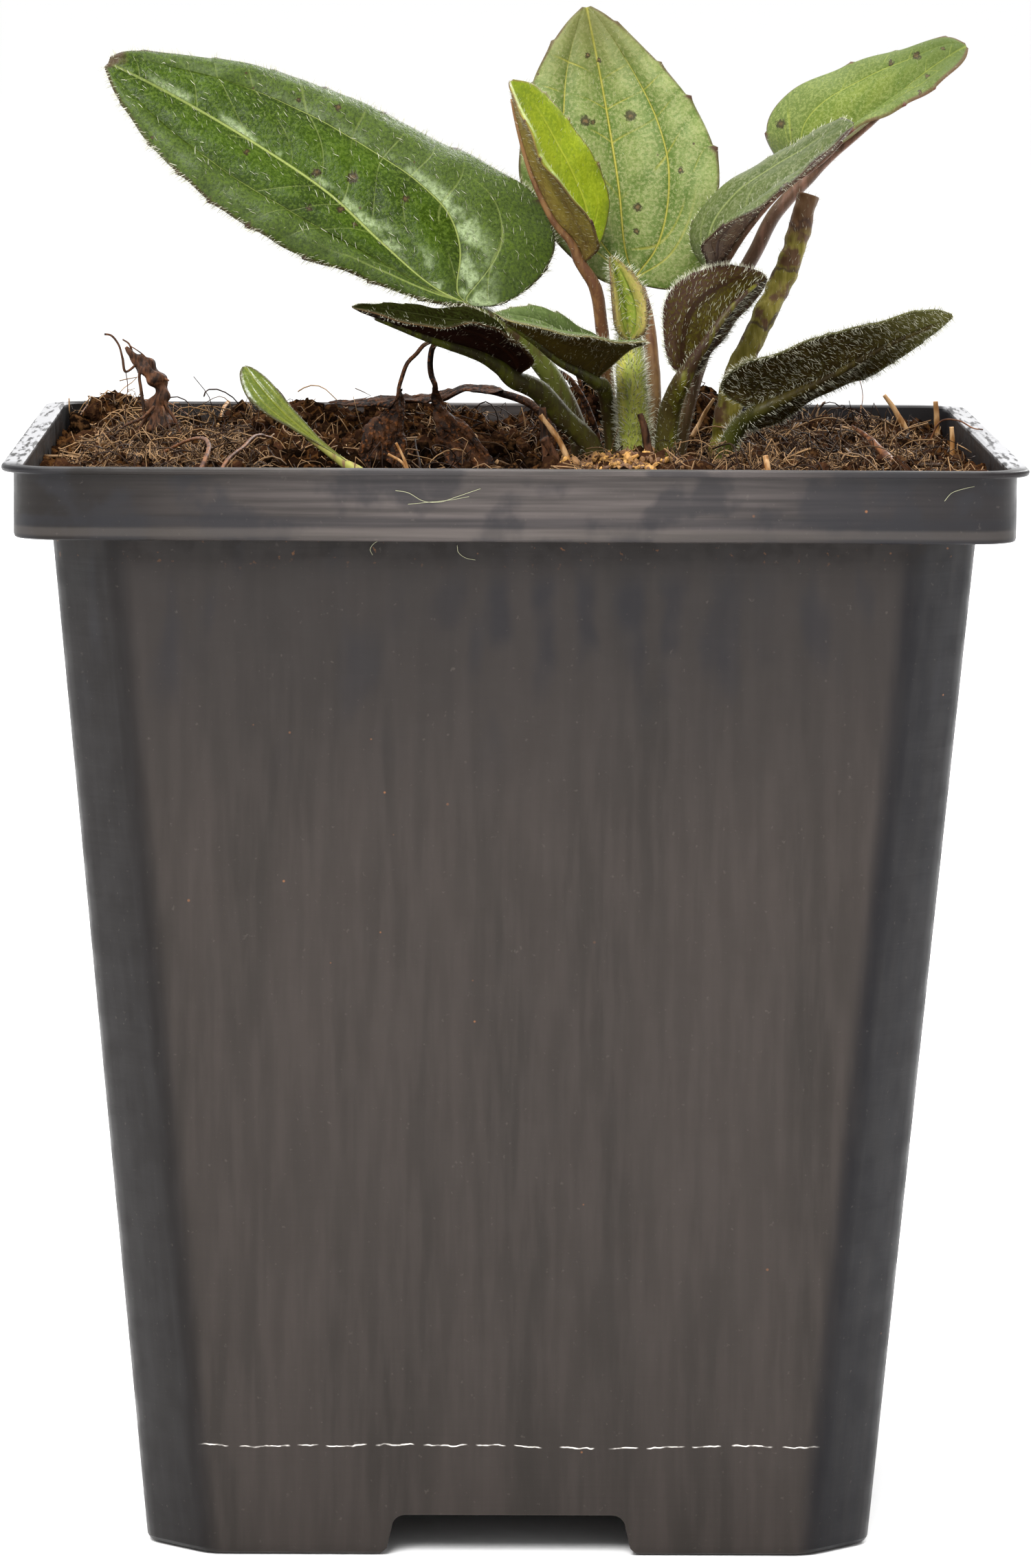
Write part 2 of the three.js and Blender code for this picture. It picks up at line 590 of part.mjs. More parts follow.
// A block whose top is the lumpy surface, over a square a little wider than the pot
function soilBlock() {
  const half = rimHalf + 1;
  const bottom = -2;
  const count = soilCells + 1;
  const points = [];
  const at = (i) => -half + (2 * half * i) / soilCells;
  for (let j = 0; j < count; j += 1) {
    for (let i = 0; i < count; i += 1) points.push(new THREE.Vector3(at(i), at(j), soilTop(at(i), at(j))));
  }
  const triangles = [];
  for (let j = 0; j < soilCells; j += 1) {
    for (let i = 0; i < soilCells; i += 1) {
      const a = j * count + i;
      triangles.push([a, a + 1, a + 1 + count], [a, a + 1 + count, a + count]);
    }
  }
  const rim = [];
  for (let i = 0; i < soilCells; i += 1) rim.push(i);
  for (let j = 0; j < soilCells; j += 1) rim.push(j * count + soilCells);
  for (let i = soilCells; i > 0; i -= 1) rim.push(soilCells * count + i);
  for (let j = soilCells; j > 0; j -= 1) rim.push(j * count);
  const foot = points.length;
  for (const i of rim) points.push(points[i].clone().setZ(bottom));
  const centre = points.push(new THREE.Vector3(0, 0, bottom)) - 1;
  rim.forEach((top, i) => {
    const next = (i + 1) % rim.length;
    triangles.push([foot + i, foot + next, rim[next]], [foot + i, rim[next], top]);
    triangles.push([centre, foot + next, foot + i]);
  });
  return solidOf(indexedGeometry(points, triangles));
}

function soilSolid() {
  const roomAbove = 105;
  let soil = soilSpace(clearance, roomAbove).intersect(soilBlock());
  soil = soil.subtract(channels(wall + clearance, 4 * baseHalf));
  for (const leaf of leaves.values()) soil = soil.subtract(stalkHole(leaf.stalk, leaf.stalkRadius));
  for (const stem of stems.values()) soil = soil.subtract(stalkHole(stem.route, stem.radii[0]));
  return soil;
}

// All the leaves and stems by the names of their pieces, and their colours

const leaves = new Map([
  ['leaf_left', leafLeft],
  ['leaf_low_left', leafLowLeft],
  ['leaf_front_small', leafFrontSmall],
  ['leaf_back', leafBack],
  ['leaf_folded', leafFolded],
  ['leaf_right_top', leafRightTop],
  ['leaf_right', leafRight],
  ['leaf_purple', leafPurple],
  ['leaf_low_right', leafLowRight],
  ['leaf_young', leafYoung],
  ['seedling', seedlingLeaf],
  ['leaf_dead_long', leafDeadLong],
  ['leaf_dead_short', leafDeadShort],
  ['leaf_dead_back', leafDeadBack],
]);

const stems = new Map([
  ['stem_cut', cutStem],
  ['stub_brown', brownStub],
  ['stalk_withered', witheredStalk],
]);

const colours = new Map([
  ['leaf_left', 0x4c7a2e],
  ['leaf_low_left', 0x3f5230],
  ['leaf_front_small', 0x48603a],
  ['leaf_back', 0x7d9155],
  ['leaf_folded', 0x7fae2c],
  ['leaf_right_top', 0x8fb04a],
  ['leaf_right', 0x6d8058],
  ['leaf_purple', 0x5a4038],
  ['leaf_low_right', 0x4a4f38],
  ['leaf_young', 0x8fa65c],
  ['seedling', 0x6f9c2e],
  ['leaf_dead_long', 0x4a2f22],
  ['leaf_dead_short', 0x3f2a20],
  ['leaf_dead_back', 0x4f3728],
  ['stem_cut', 0x6b6a33],
  ['stub_brown', 0x5a4030],
  ['stalk_withered', 0x4a3324],
]);

function piece(name, solid, colour, roughness) {
  const material = new THREE.MeshStandardMaterial({ color: colour, roughness, metalness: 0 });
  const mesh = new THREE.Mesh(geometryOf(solid), material);
  mesh.name = name;
  return mesh;
}

const pottedPlant = new THREE.Group();
pottedPlant.add(piece('pot', potSolid(), 0x504b48, 0.45));
pottedPlant.add(piece('soil', soilSolid(), 0x4a3222, 0.95));
for (const [name, leaf] of leaves) pottedPlant.add(piece(name, leafSolid(leaf), colours.get(name), 0.5));
for (const [name, stem] of stems) {
  const steps = stem.route.length * 2;
  pottedPlant.add(piece(name, tube(vectors(stem.route), stem.radii, steps), colours.get(name), 0.7));
}

export default pottedPlant;
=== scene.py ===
# A young black-eyed susan in a square plastic nursery pot filled with peat.
# Metres, +Z up, the photographed side towards -Y, origin at the middle of the pot's base.
import math

import bmesh
import bpy
import numpy as np
from mathutils import Matrix, Vector, noise


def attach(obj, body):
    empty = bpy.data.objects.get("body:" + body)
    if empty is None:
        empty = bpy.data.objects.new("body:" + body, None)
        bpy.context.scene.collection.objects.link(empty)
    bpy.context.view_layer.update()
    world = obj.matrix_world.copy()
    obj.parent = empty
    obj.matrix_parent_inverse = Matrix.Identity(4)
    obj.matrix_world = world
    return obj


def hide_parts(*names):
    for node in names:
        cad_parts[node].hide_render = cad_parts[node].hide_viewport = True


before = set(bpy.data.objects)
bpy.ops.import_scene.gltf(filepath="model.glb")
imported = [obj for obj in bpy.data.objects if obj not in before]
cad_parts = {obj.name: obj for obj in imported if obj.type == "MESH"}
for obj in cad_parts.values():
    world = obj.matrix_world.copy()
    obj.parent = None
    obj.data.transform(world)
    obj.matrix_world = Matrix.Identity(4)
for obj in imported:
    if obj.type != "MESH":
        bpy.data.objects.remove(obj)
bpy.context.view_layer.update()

# Camera: a long lens far in front and a little above the rim, as in the photograph
MM = 0.001
scene = bpy.context.scene
camera_place = Vector((-8.1, -721.1, 148.5)) * MM
camera_turn = math.radians(0.693)
camera_dip = math.radians(6.517)
camera_roll = math.radians(0.340)
focal_pixels = 11350
image_height = 2282
sensor_width = 36

ahead = Vector((
    math.sin(camera_turn) * math.cos(camera_dip),
    math.cos(camera_turn) * math.cos(camera_dip),
    -math.sin(camera_dip),
))
level_right = Vector((math.cos(camera_turn), -math.sin(camera_turn), 0))
level_up = level_right.cross(ahead)
camera_right = level_right * math.cos(camera_roll) + level_up * math.sin(camera_roll)
camera_up = level_up * math.cos(camera_roll) - level_right * math.sin(camera_roll)
camera_data = bpy.data.cameras.new("camera")
camera_data.sensor_width = sensor_width
camera_data.lens = focal_pixels * sensor_width / image_height
camera_data.clip_end = 200
camera = bpy.data.objects.new("camera", camera_data)
scene.collection.objects.link(camera)
camera_axes = Matrix((camera_right, camera_up, -ahead)).transposed().to_4x4()
camera.matrix_world = Matrix.Translation(camera_place) @ camera_axes
scene.camera = camera
scene.view_settings.view_transform = "Standard"

# Stage: a pale floor that runs out of sight, a white surround and three soft lamps
floor_half = 45
floor_colour = (0.97, 0.97, 0.97, 1)
surround_strength = 1.03


def lamp(name, place, size, power):
    """A square soft lamp at this place, turned to the plant."""
    data = bpy.data.lights.new(name, "AREA")
    data.size = size
    data.energy = power
    light = bpy.data.objects.new(name, data)
    scene.collection.objects.link(light)
    light.location = place
    light.rotation_euler = (Vector((0, 0, 0.1)) - Vector(place)).to_track_quat("-Z", "Y").to_euler()


floor_mesh = bpy.data.meshes.new("floor")
floor_corners = [(x * floor_half, y * floor_half, 0) for x, y in ((-1, -1), (1, -1), (1, 1), (-1, 1))]
floor_mesh.from_pydata(floor_corners, [], [(0, 1, 2, 3)])
floor_material = bpy.data.materials.new("floor")
floor_material.use_nodes = True
floor_shader = floor_material.node_tree.nodes["Principled BSDF"]
floor_shader.inputs["Base Color"].default_value = floor_colour
floor_shader.inputs["Roughness"].default_value = 0.9
floor_mesh.materials.append(floor_material)
floor = bpy.data.objects.new("floor", floor_mesh)
scene.collection.objects.link(floor)

surround = bpy.data.worlds.new("surround")
surround.use_nodes = True
surround.node_tree.nodes["Background"].inputs["Color"].default_value = (1, 1, 1, 1)
surround.node_tree.nodes["Background"].inputs["Strength"].default_value = surround_strength
scene.world = surround
lamp("lamp_front", (-0.25, -1.0, 0.95), 0.6, 26)
lamp("lamp_over", (-0.2, 0.1, 1.2), 0.6, 16)
lamp("lamp_back", (0.5, 0.9, 0.7), 0.6, 12)

# Pot: one thin shell of injection moulded dark grey plastic, with a wide collar, chamfered corners,
# crossed channels under the floor and drain holes. It has long been handled: rubbed, streaked and dusty.
pot_height = 98.7
rim_half = 45
band_half = 43.9
shoulder_half = 40.7
shoulder_height = 91
base_half = 32.7
wall = 0.8
floor_thickness = 0.9
band_bottom = 92.3
ledge_top = 95.4
body_chamfer = 5.5
rim_corner = 5
shoulder_flare = 0.35
lip_thickness = 0.6
corner_steps = 8
channel_height = 3.8
channel_foot = 11.4
channel_roof = 10.5
channel_corner = 1.2
centre_hole = 4
slot_radius = 1.6
slot_length = 8
slot_distance = 18


def linear(hex_colour):
    """The scene colour of a colour written as on a screen."""
    parts = [int(hex_colour[start:start + 2], 16) / 255 for start in (0, 2, 4)]
    return (*[part / 12.92 if part < 0.04045 else ((part + 0.055) / 1.055) ** 2.4 for part in parts], 1)


def new_node(tree, kind, inputs, output=0, **settings):
    """The output of a new node. Each input is a plain value or another node's output."""
    made = tree.nodes.new(kind)
    for key, value in settings.items():
        setattr(made, key, value)
    for key, value in inputs.items():
        if isinstance(value, bpy.types.NodeSocket):
            tree.links.new(value, made.inputs[key])
        else:
            made.inputs[key].default_value = value
    return made.outputs[output]


class Finish:
    """A material made of nodes, with sizes in mm and colours written as on a screen. The base colours come
    first, and each coat then covers them by its amount, from 0 to 1."""

    def __init__(self, name):
        self.material = bpy.data.materials.new(name)
        self.material.use_nodes = True
        self.tree = self.material.node_tree
        self.shader = self.tree.nodes["Principled BSDF"]
        self.place = self.node("ShaderNodeTexCoord", {}, output="Object")
        self.colour = None

    def node(self, kind, inputs, output=0, **settings):
        return new_node(self.tree, kind, inputs, output, **settings)

    def stretched(self, x, y, z):
        """The place, with a pattern read there drawn out along an axis whose number is small."""
        return self.node("ShaderNodeMapping", {"Vector": self.place, "Scale": (x, y, z)})

    def grain(self, size, detail=2, place=None, rough=0.5):
        inputs = {"Vector": place or self.place, "Scale": 1 / (size * MM)}
        return self.node("ShaderNodeTexNoise", {**inputs, "Detail": detail, "Roughness": rough})

    def cells(self, size, feature="F1", place=None):
        inputs = {"Vector": place or self.place, "Scale": 1 / (size * MM)}
        return self.node("ShaderNodeTexVoronoi", inputs, output="Distance", feature=feature)

    def number(self, operation, first, second=0.0, third=0.0):
        return self.node("ShaderNodeMath", {0: first, 1: second, 2: third}, operation=operation)

    def plus(self, first, second):
        return self.number("ADD", first, second)

    def times(self, first, *others):
        for other in others:
            first = self.number("MULTIPLY", first, other)
        return first

    def off(self, value, middle):
        """How far the value is from the middle, on either side."""
        return self.number("ABSOLUTE", self.number("SUBTRACT", value, middle))

    def ramp(self, value, low, high, start=0.0, end=1.0):
        inputs = {"Value": value, "From Min": low, "From Max": high, "To Min": start, "To Max": end}
        return self.node("ShaderNodeMapRange", inputs, interpolation_type="SMOOTHSTEP")

    def patches(self, size, detail, low, high, start=0.0, end=1.0):
        return self.ramp(self.grain(size, detail), low, high, start, end)

    def mix(self, amount, first, second):
        first, second = [linear(part) if isinstance(part, str) else part for part in (first, second)]
        return self.node("ShaderNodeMix", {0: amount, 6: first, 7: second}, output=2, data_type="RGBA")

    def base(self, amount, first, second):
        self.colour = self.mix(amount, first, second)

    def coat(self, amount, colour):
        self.colour = self.mix(amount, self.colour, colour)

    def read(self, attribute):
        return self.node("ShaderNodeAttribute", {}, output="Fac", attribute_name=attribute)

    def axis(self, letter):
        """The place along one axis, in mm."""
        part = self.node("ShaderNodeSeparateXYZ", {0: self.place}, output=letter)
        return self.times(part, 1 / MM)

    def done(self, roughness, height=None, **plain):
        """Links the finish up. Height is the relief in mm, and plain holds the shader's own numbers."""
        self.tree.links.new(self.colour, self.shader.inputs["Base Color"])
        if isinstance(roughness, float):
            self.shader.inputs["Roughness"].default_value = roughness
        else:
            self.tree.links.new(roughness, self.shader.inputs["Roughness"])
        if height is not None:
            bump = self.node("ShaderNodeBump", {"Strength": 1.0, "Distance": MM, "Height": height})
            self.tree.links.new(bump, self.shader.inputs["Normal"])
        for key, value in plain.items():
            self.shader.inputs[key.replace("_", " ")].default_value = value
        return self.material


def mesh_object(name, points, faces, materials, face_materials=None, smooth=True):
    """An object from points in mm. Faces are lists of point numbers."""
    mesh = bpy.data.meshes.new(name)
    mesh.from_pydata((np.asarray(points, float) * MM).tolist(), [], faces)
    for material in materials:
        mesh.materials.append(material)
    if face_materials is not None:
        mesh.polygons.foreach_set("material_index", np.asarray(face_materials, np.int32))
    mesh.polygons.foreach_set("use_smooth", [smooth] * len(faces))
    mesh.update()
    made = bpy.data.objects.new(name, mesh)
    scene.collection.objects.link(made)
    return made


def combined(first, second, operation):
    """The first object changed by a boolean with the second, which is used up."""
    modifier = first.modifiers.new("cut", "BOOLEAN")
    modifier.operation = operation
    modifier.solver = "EXACT"
    modifier.object = second
    graph = bpy.context.evaluated_depsgraph_get()
    mesh = bpy.data.meshes.new_from_object(first.evaluated_get(graph), depsgraph=graph)
    first.modifiers.clear()
    first.data = mesh
    bpy.data.objects.remove(second)
    return first


def chamfered_corner(half, chamfer):
    soft = chamfer * 0.25
    start = np.array([half, half - chamfer - soft])
    corner = np.array([half, half - chamfer])
    end = np.array([half - soft * 0.7, half - chamfer + soft * 0.7])
    near = []
    for step in range(corner_steps // 2):
        share = step / (corner_steps // 2 - 1)
        near.append(start * (1 - share) ** 2 + corner * 2 * share * (1 - share) + end * share ** 2)
    return near + [point[::-1] for point in near[::-1]]


def round_corner(half, radius):
    middle = half - radius
    turns = np.linspace(0, math.pi / 2, corner_steps)
    return [(middle + radius * math.cos(turn), middle + radius * math.sin(turn)) for turn in turns]


def turned_by(quarter, points):
    """Points of x and y turned about the pot's middle by this many quarters of a full turn."""
    cosine, sine = math.cos(quarter * math.pi / 2), math.sin(quarter * math.pi / 2)
    return [(cosine * x - sine * y, sine * x + cosine * y) for x, y in points]


def square_ring(corner, z):
    """One corner's points turned round to all four corners, at this height."""
    return [(x, y, z) for quarter in range(4) for x, y in turned_by(quarter, corner)]


def body_ring(half, z):
    return square_ring(chamfered_corner(half, body_chamfer), z)


def round_ring(half, z):
    return square_ring(round_corner(half, rim_corner - (rim_half - half)), z)


def loft(rings):
    """Points and faces of a closed skin over rings of as many points each, with a face on either end."""
    count = len(rings[0])
    points = [tuple(point) for ring in rings for point in ring]
    faces = [list(range(count))[::-1]]
    for row in range(len(rings) - 1):
        for step in range(count):
            here, beside = row * count + step, row * count + (step + 1) % count
            faces.append([here, beside, beside + count, here + count])
    faces.append(list(range(len(points) - count, len(points))))
    return points, faces


def bar(outline, length, turned):
    """A prism along Y, or along X where it is turned, from an outline of x and z."""
    ends = []
    for y in (length / 2, -length / 2):
        ends.append([(-y, x, z) if turned else (x, y, z) for x, z in outline])
    return mesh_object("bar", *loft(ends), [])


def channel_outline(outset):
    foot, roof, top = channel_foot + outset, channel_roof + outset, channel_height + outset
    half = [(foot + 0.4, -1), (foot + 0.15, 0.1), (foot - 0.45, 0.7)]
    for turn in np.linspace(0, math.pi / 2, 6):
        aside, down = channel_corner * (1 - math.cos(turn)), channel_corner * (1 - math.sin(turn))
        half.append((roof - aside, top - down))
    return half + [(-x, z) for x, z in half[::-1]]


def drain_hole(outline):
    return mesh_object("hole", *loft([[(x, y, z) for x, y in outline] for z in (0, 4 * channel_height)]), [])


lip_bottom = pot_height - lip_thickness
mouth_half = band_half - wall
pot_rings = [
    body_ring(base_half - 1.1, 0),
    body_ring(base_half - 0.6, 0.08),
    body_ring(base_half - 0.25, 0.3),
    body_ring(base_half - 0.05, 0.65),
    body_ring(base_half, floor_thickness + 0.2),
    body_ring(shoulder_half, shoulder_height),
    body_ring(shoulder_half + shoulder_flare, ledge_top - wall),
    round_ring(mouth_half, ledge_top - wall),
    round_ring(mouth_half, band_bottom),
    round_ring(band_half - 0.25, band_bottom),
    round_ring(band_half - 0.08, band_bottom + 0.1),
    round_ring(band_half, band_bottom + 0.35),
    round_ring(band_half, lip_bottom - 0.2),
    round_ring(band_half + 0.08, lip_bottom - 0.05),
    round_ring(band_half + 0.3, lip_bottom),
    round_ring(rim_half - 0.2, lip_bottom),
    round_ring(rim_half - 0.05, lip_bottom + 0.12),
    round_ring(rim_half, pot_height - lip_thickness / 2),
    round_ring(rim_half - 0.05, pot_height - 0.1),
    round_ring(rim_half - 0.2, pot_height),
    round_ring(mouth_half + 0.3, pot_height),
    round_ring(mouth_half + 0.05, pot_height - 0.15),
    round_ring(mouth_half - 0.1, ledge_top),
    body_ring(shoulder_half - wall + shoulder_flare, ledge_top),
    body_ring(shoulder_half - wall, shoulder_height),
    body_ring(base_half - wall, floor_thickness),
]
overlap = 0.1
space_rings = [
    body_ring(base_half - wall + overlap, floor_thickness - overlap),
    body_ring(shoulder_half - wall + overlap, shoulder_height),
    body_ring(shoulder_half - wall + shoulder_flare + overlap, ledge_top - overlap),
]
cut_length = 4 * base_half
pot = mesh_object("pot_shell", *loft(pot_rings), [])
for turned in (False, True):
    roof = bar(channel_outline(wall), cut_length, turned)
    space = mesh_object("space", *loft(space_rings), [])
    pot = combined(pot, combined(roof, space, "INTERSECT"), "UNION")
for turned in (False, True):
    pot = combined(pot, bar(channel_outline(0), cut_length, turned), "DIFFERENCE")
circle = [(math.cos(turn), math.sin(turn)) for turn in np.linspace(0, 2 * math.pi, 32, endpoint=False)]
pot = combined(pot, drain_hole([(centre_hole * x, centre_hole * y) for x, y in circle]), "DIFFERENCE")
straight = slot_length / 2 - slot_radius
slot = []
for x, y in circle:
    along = slot_distance + slot_radius * x + math.copysign(straight, x if abs(x) > 1e-6 else y)
    slot.append((along, slot_radius * y))
for quarter in range(4):
    pot = combined(pot, drain_hole(turned_by(quarter, slot)), "DIFFERENCE")

# The plastic is streaked up the walls and round the collar, with dark prints under the collar, painted shade
# and stuck peat right under it, painted shade on the chamfers and the collar's ends, a scuffed white line
# round the foot and a painted reflection on the lip, broken by wear. A mask is 1 on its mark and 0 elsewhere.
scuff_height = 10.2
scuff_pitch = 4.0
print_pitch = 4.0
plastic = Finish("pot_plastic")
height = plastic.axis("Z")
across = plastic.axis("X")
depth = plastic.axis("Y")
off_middle = plastic.number("ABSOLUTE", across)
on_band = plastic.ramp(height, band_bottom - 0.3, band_bottom + 0.3)
on_front = plastic.ramp(depth, -31, -30, 1, 0)
corner_sum = plastic.plus(off_middle, plastic.number("ABSOLUTE", depth))
widening = 2 * (shoulder_half - base_half) / shoulder_height
flat_reach = plastic.number("MULTIPLY_ADD", height, widening, 2 * base_half - body_chamfer)
on_chamfer = plastic.ramp(plastic.number("SUBTRACT", corner_sum, flat_reach), -1.8, -0.2)
streaks = plastic.grain(1.1, 3, plastic.stretched(1, 1, 0.05))
broad_streaks = plastic.grain(6, 2, plastic.stretched(1, 1, 0.06))
rings_round = plastic.grain(0.5, 3, plastic.stretched(0.03, 0.03, 1))

body = plastic.mix(plastic.ramp(broad_streaks, 0.35, 0.65), "231f1c", "2a2522")
body = plastic.mix(plastic.ramp(streaks, 0.35, 0.7, 0, 0.4), body, "342e2b")
body = plastic.mix(plastic.ramp(height, 60, 91, 0, 0.7), body, "1d1a19")
# Painted shade: the chamfered corners are painted darker than the flat faces, warmer on the left than on the
# right, under the plastic's own streaks
corner = plastic.mix(plastic.ramp(across, -10, 10), "100d0c", "0d0c0f")
corner = plastic.mix(plastic.ramp(streaks, 0.35, 0.7, 0, 0.5), corner, "191717")
body = plastic.mix(on_chamfer, body, corner)
print_place = plastic.plus(across, plastic.patches(9, 2, 0.3, 0.7, -0.8, 0.8))
print_foot = plastic.plus(height, plastic.patches(5, 1, 0.3, 0.7, -3, 3))
prints = plastic.times(
    plastic.ramp(plastic.number("PINGPONG", print_place, print_pitch / 2), 0.4, 1.7),
    plastic.ramp(print_foot, 79, 86.5), plastic.ramp(height, 87.4, 89.8, 1, 0.3),
    plastic.ramp(across, -14, 0, 0, 0.9), plastic.ramp(across, 12, 28, 1, 0), on_front, 0.7,
)
body = plastic.mix(prints, body, "131317")
smudge_place = plastic.ramp(plastic.grain(4.5, 2, plastic.stretched(1, 1, 0.25)), 0.52, 0.68)
body = plastic.mix(plastic.times(plastic.ramp(height, 68, 84), smudge_place, 0.45), body, "17171b")
band = plastic.mix(plastic.ramp(rings_round, 0.3, 0.7), "34302e", "4a4442")
# Painted shade: the collar darkens from its middle towards its rounded ends
shaded_band_end = plastic.mix(plastic.ramp(across, -10, 10), "100d0b", "171516")
band = plastic.mix(plastic.ramp(off_middle, 8, 40, 0.05, 0.95), band, shaded_band_end)
band = plastic.mix(plastic.patches(7, 4, 0.5, 0.6, 0, 0.6), band, "1d1d20")
plastic.base(on_band, body, band)

pale_line = plastic.off(height, band_bottom + 0.75)
plastic.coat(plastic.ramp(pale_line, 0.2, 0.55, 0.35, 0), "47423e")
dark_line = plastic.off(height, band_bottom + 1.7)
plastic.coat(plastic.ramp(dark_line, 0.2, 0.7, 0.5, 0), "19191c")
# Right under the collar: painted shade in patches, and crumbs of peat stuck there
under_band = plastic.number("SUBTRACT", plastic.ramp(height, 89, 92), plastic.ramp(height, 92.0, 92.4))
plastic.coat(plastic.times(under_band, plastic.patches(1.8, 4, 0.42, 0.6, 0.25, 0.9)), "161210")
plastic.coat(plastic.times(under_band, plastic.patches(0.6, 3, 0.66, 0.74, 0, 0.6)), "6a4527")
plastic.coat(plastic.patches(0.45, 4, 0.66, 0.76, 0, 0.22), "534d47")
specks = plastic.ramp(plastic.cells(2.6), 0.03, 0.06, 1, 0)
plastic.coat(plastic.times(specks, plastic.patches(11, 1, 0.57, 0.62)), "67452e")
scuff_place = plastic.plus(height, plastic.patches(6, 2, 0.3, 0.7, -0.15, 0.15))
scuff_place = plastic.plus(scuff_place, plastic.patches(1.2, 2, 0.3, 0.7, -0.07, 0.07))
dash = plastic.plus(across, plastic.patches(7, 2, 0.3, 0.7, -0.9, 0.9))
scuff = plastic.times(
    plastic.ramp(plastic.off(scuff_place, scuff_height), 0.015, 0.085, 1, 0),
    plastic.ramp(plastic.number("PINGPONG", dash, scuff_pitch / 2), 0.35, 0.8),
    plastic.patches(0.9, 2, 0.32, 0.55, 0.25, 1), plastic.ramp(off_middle, 26.5, 28, 1, 0), on_front,
)
plastic.coat(scuff, "d2ccc5")
# Painted reflection: the white surround painted on the left and right tops of the lip, broken up like wear
reflection_wear = plastic.grain(0.5, 3, plastic.stretched(1, 0.1, 1))
lip_reflection_and_wear = plastic.times(
    plastic.ramp(off_middle, 42.6, 43.2), plastic.ramp(height, 98.2, 98.6), plastic.ramp(depth, -43, -36),
    plastic.ramp(reflection_wear, 0.36, 0.52, 0, 0.7),
)
plastic.coat(lip_reflection_and_wear, "a2a2a4")
roughness = plastic.patches(2.5, 4, 0.3, 0.7, 0.36, 0.5)
relief = plastic.plus(plastic.times(streaks, 0.012), plastic.times(rings_round, 0.02))
pot_plastic = plastic.done(roughness, relief, Specular_IOR_Level=0.125)
pot.data.materials.clear()
pot.data.materials.append(pot_plastic)
for polygon in pot.data.polygons:
    polygon.material_index = 0
pot.data.shade_smooth()
pot.data.set_sharp_from_angle(angle=math.radians(28))
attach(pot, "root")
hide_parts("pot")

# Soil: moist fibrous peat, filled in loose and settled by watering, so that it has the pot's inner shape.
# Its top has clods and hollows, curled rootlets and some golden flakes round the crown.
soil_height = 96.6
soil_cells = 230
soil_half = mouth_half - 0.35
soil_bottom = 4.95
soil_neck_half = 39.6
soil_shoulder_half = 39.3
soil_foot_half = 31.8
soil_heaps = [
    # x, y, reach and height above the level
    (9, -3, 9, -0.8), (-38, 36, 3.6, 3.6), (-24, 36, 5, 1.0), (-33, 12, 5, 1.2), (-8, 35, 8, 1.9),
    (31, 33, 6, 0.8), (-14, -30, 5, -1.0), (-20, -12, 6, -1.4), (7.4, 25, 3.4, 6.4), (18.7, 17, 2.5, 5.6),
    (-35, -30, 9, 1.2), (30, -26, 12, 0.9), (9, -19, 7, 0.4), (10, 38, 8, 0.6), (26, 40, 14, -0.4),
    (-9, -12, 10, -1.5), (-4, 4, 7, -0.8), (-18, -36, 5, -0.5), (-20, 33.5, 3.4, 3.2),
]


def soil_top(x, y):
    """The peat's height, and how far its clods, crumbs and fine roughness stand out of the crevices."""
    level = soil_height + 0.22 * math.sin(0.62 * x + 0.31 * y) + 0.2 * math.sin(0.83 * y - 0.37 * x + 1.7)
    for heap_x, heap_y, reach, rise in soil_heaps:
        level += rise * math.exp(-((x - heap_x) ** 2 + (y - heap_y) ** 2) / reach ** 2)
    clods = noise.voronoi(Vector((x / 4.6, y / 4.6, 0.3)))[0]
    crumbs = noise.voronoi(Vector((x / 1.8, y / 1.8, 2.3)))[0]
    stand = 1.6 * (min((clods[1] - clods[0]) / 0.45, 1) ** 0.6 - 0.75)
    stand += 0.5 * (min((crumbs[1] - crumbs[0]) / 0.4, 1) - 0.6)
    stand += 0.75 * noise.fractal(Vector((x / 2.6, y / 2.6, 4.1)), 0.8, 2.1, 4)
    return level + stand, stand


soil_points, soil_faces, soil_rise = [], [], []
row_length = soil_cells + 1
corner_radius = rim_corner - (rim_half - soil_half)
for j in range(row_length):
    for i in range(row_length):
        x = soil_half * (2 * i / soil_cells - 1)
        y = soil_half * (2 * j / soil_cells - 1)
        inner = soil_half - corner_radius
        over_x, over_y = max(abs(x) - inner, 0), max(abs(y) - inner, 0)
        far = math.hypot(over_x, over_y)
        if far > corner_radius:
            x -= math.copysign(over_x * (1 - corner_radius / far), x)
            y -= math.copysign(over_y * (1 - corner_radius / far), y)
        at_wall = min(max((max(abs(x), abs(y)) - soil_half + 1.5) / 1.5, 0), 1)
        top, stand = soil_top(x, y)
        soil_points.append((x, y, top - 0.5 * at_wall))
        soil_rise.append(stand)
for j in range(soil_cells):
    for i in range(soil_cells):
        here = j * row_length + i
        soil_faces.append([here, here + 1, here + 1 + row_length, here + row_length])
rim = list(range(soil_cells))
rim += [j * row_length + soil_cells for j in range(soil_cells)]
rim += [soil_cells * row_length + i for i in range(soil_cells, 0, -1)]
rim += [j * row_length for j in range(soil_cells, 0, -1)]
levels = [
    # half width and height of the block under the surface, down to the channels' roof
    (soil_half, ledge_top + 0.3), (soil_neck_half, ledge_top + 0.25), (soil_shoulder_half, shoulder_height),
    (soil_foot_half, soil_bottom),
]
above = rim
for half, z in levels:
    start = len(soil_points)
    for i in rim:
        x, y = soil_points[i][0] * half / soil_half, soil_points[i][1] * half / soil_half
        corner_sum = abs(x) + abs(y)
        shrink = min(1, (2 * half - body_chamfer - 1.2) / corner_sum) if half < soil_half else 1
        soil_points.append((x * shrink, y * shrink, z))
    ring = list(range(start, start + len(rim)))
    for i in range(len(rim)):
        after = (i + 1) % len(rim)
        soil_faces.append([above[i], ring[i], ring[after], above[after]])
    above = ring
soil_faces.append(above[::-1])

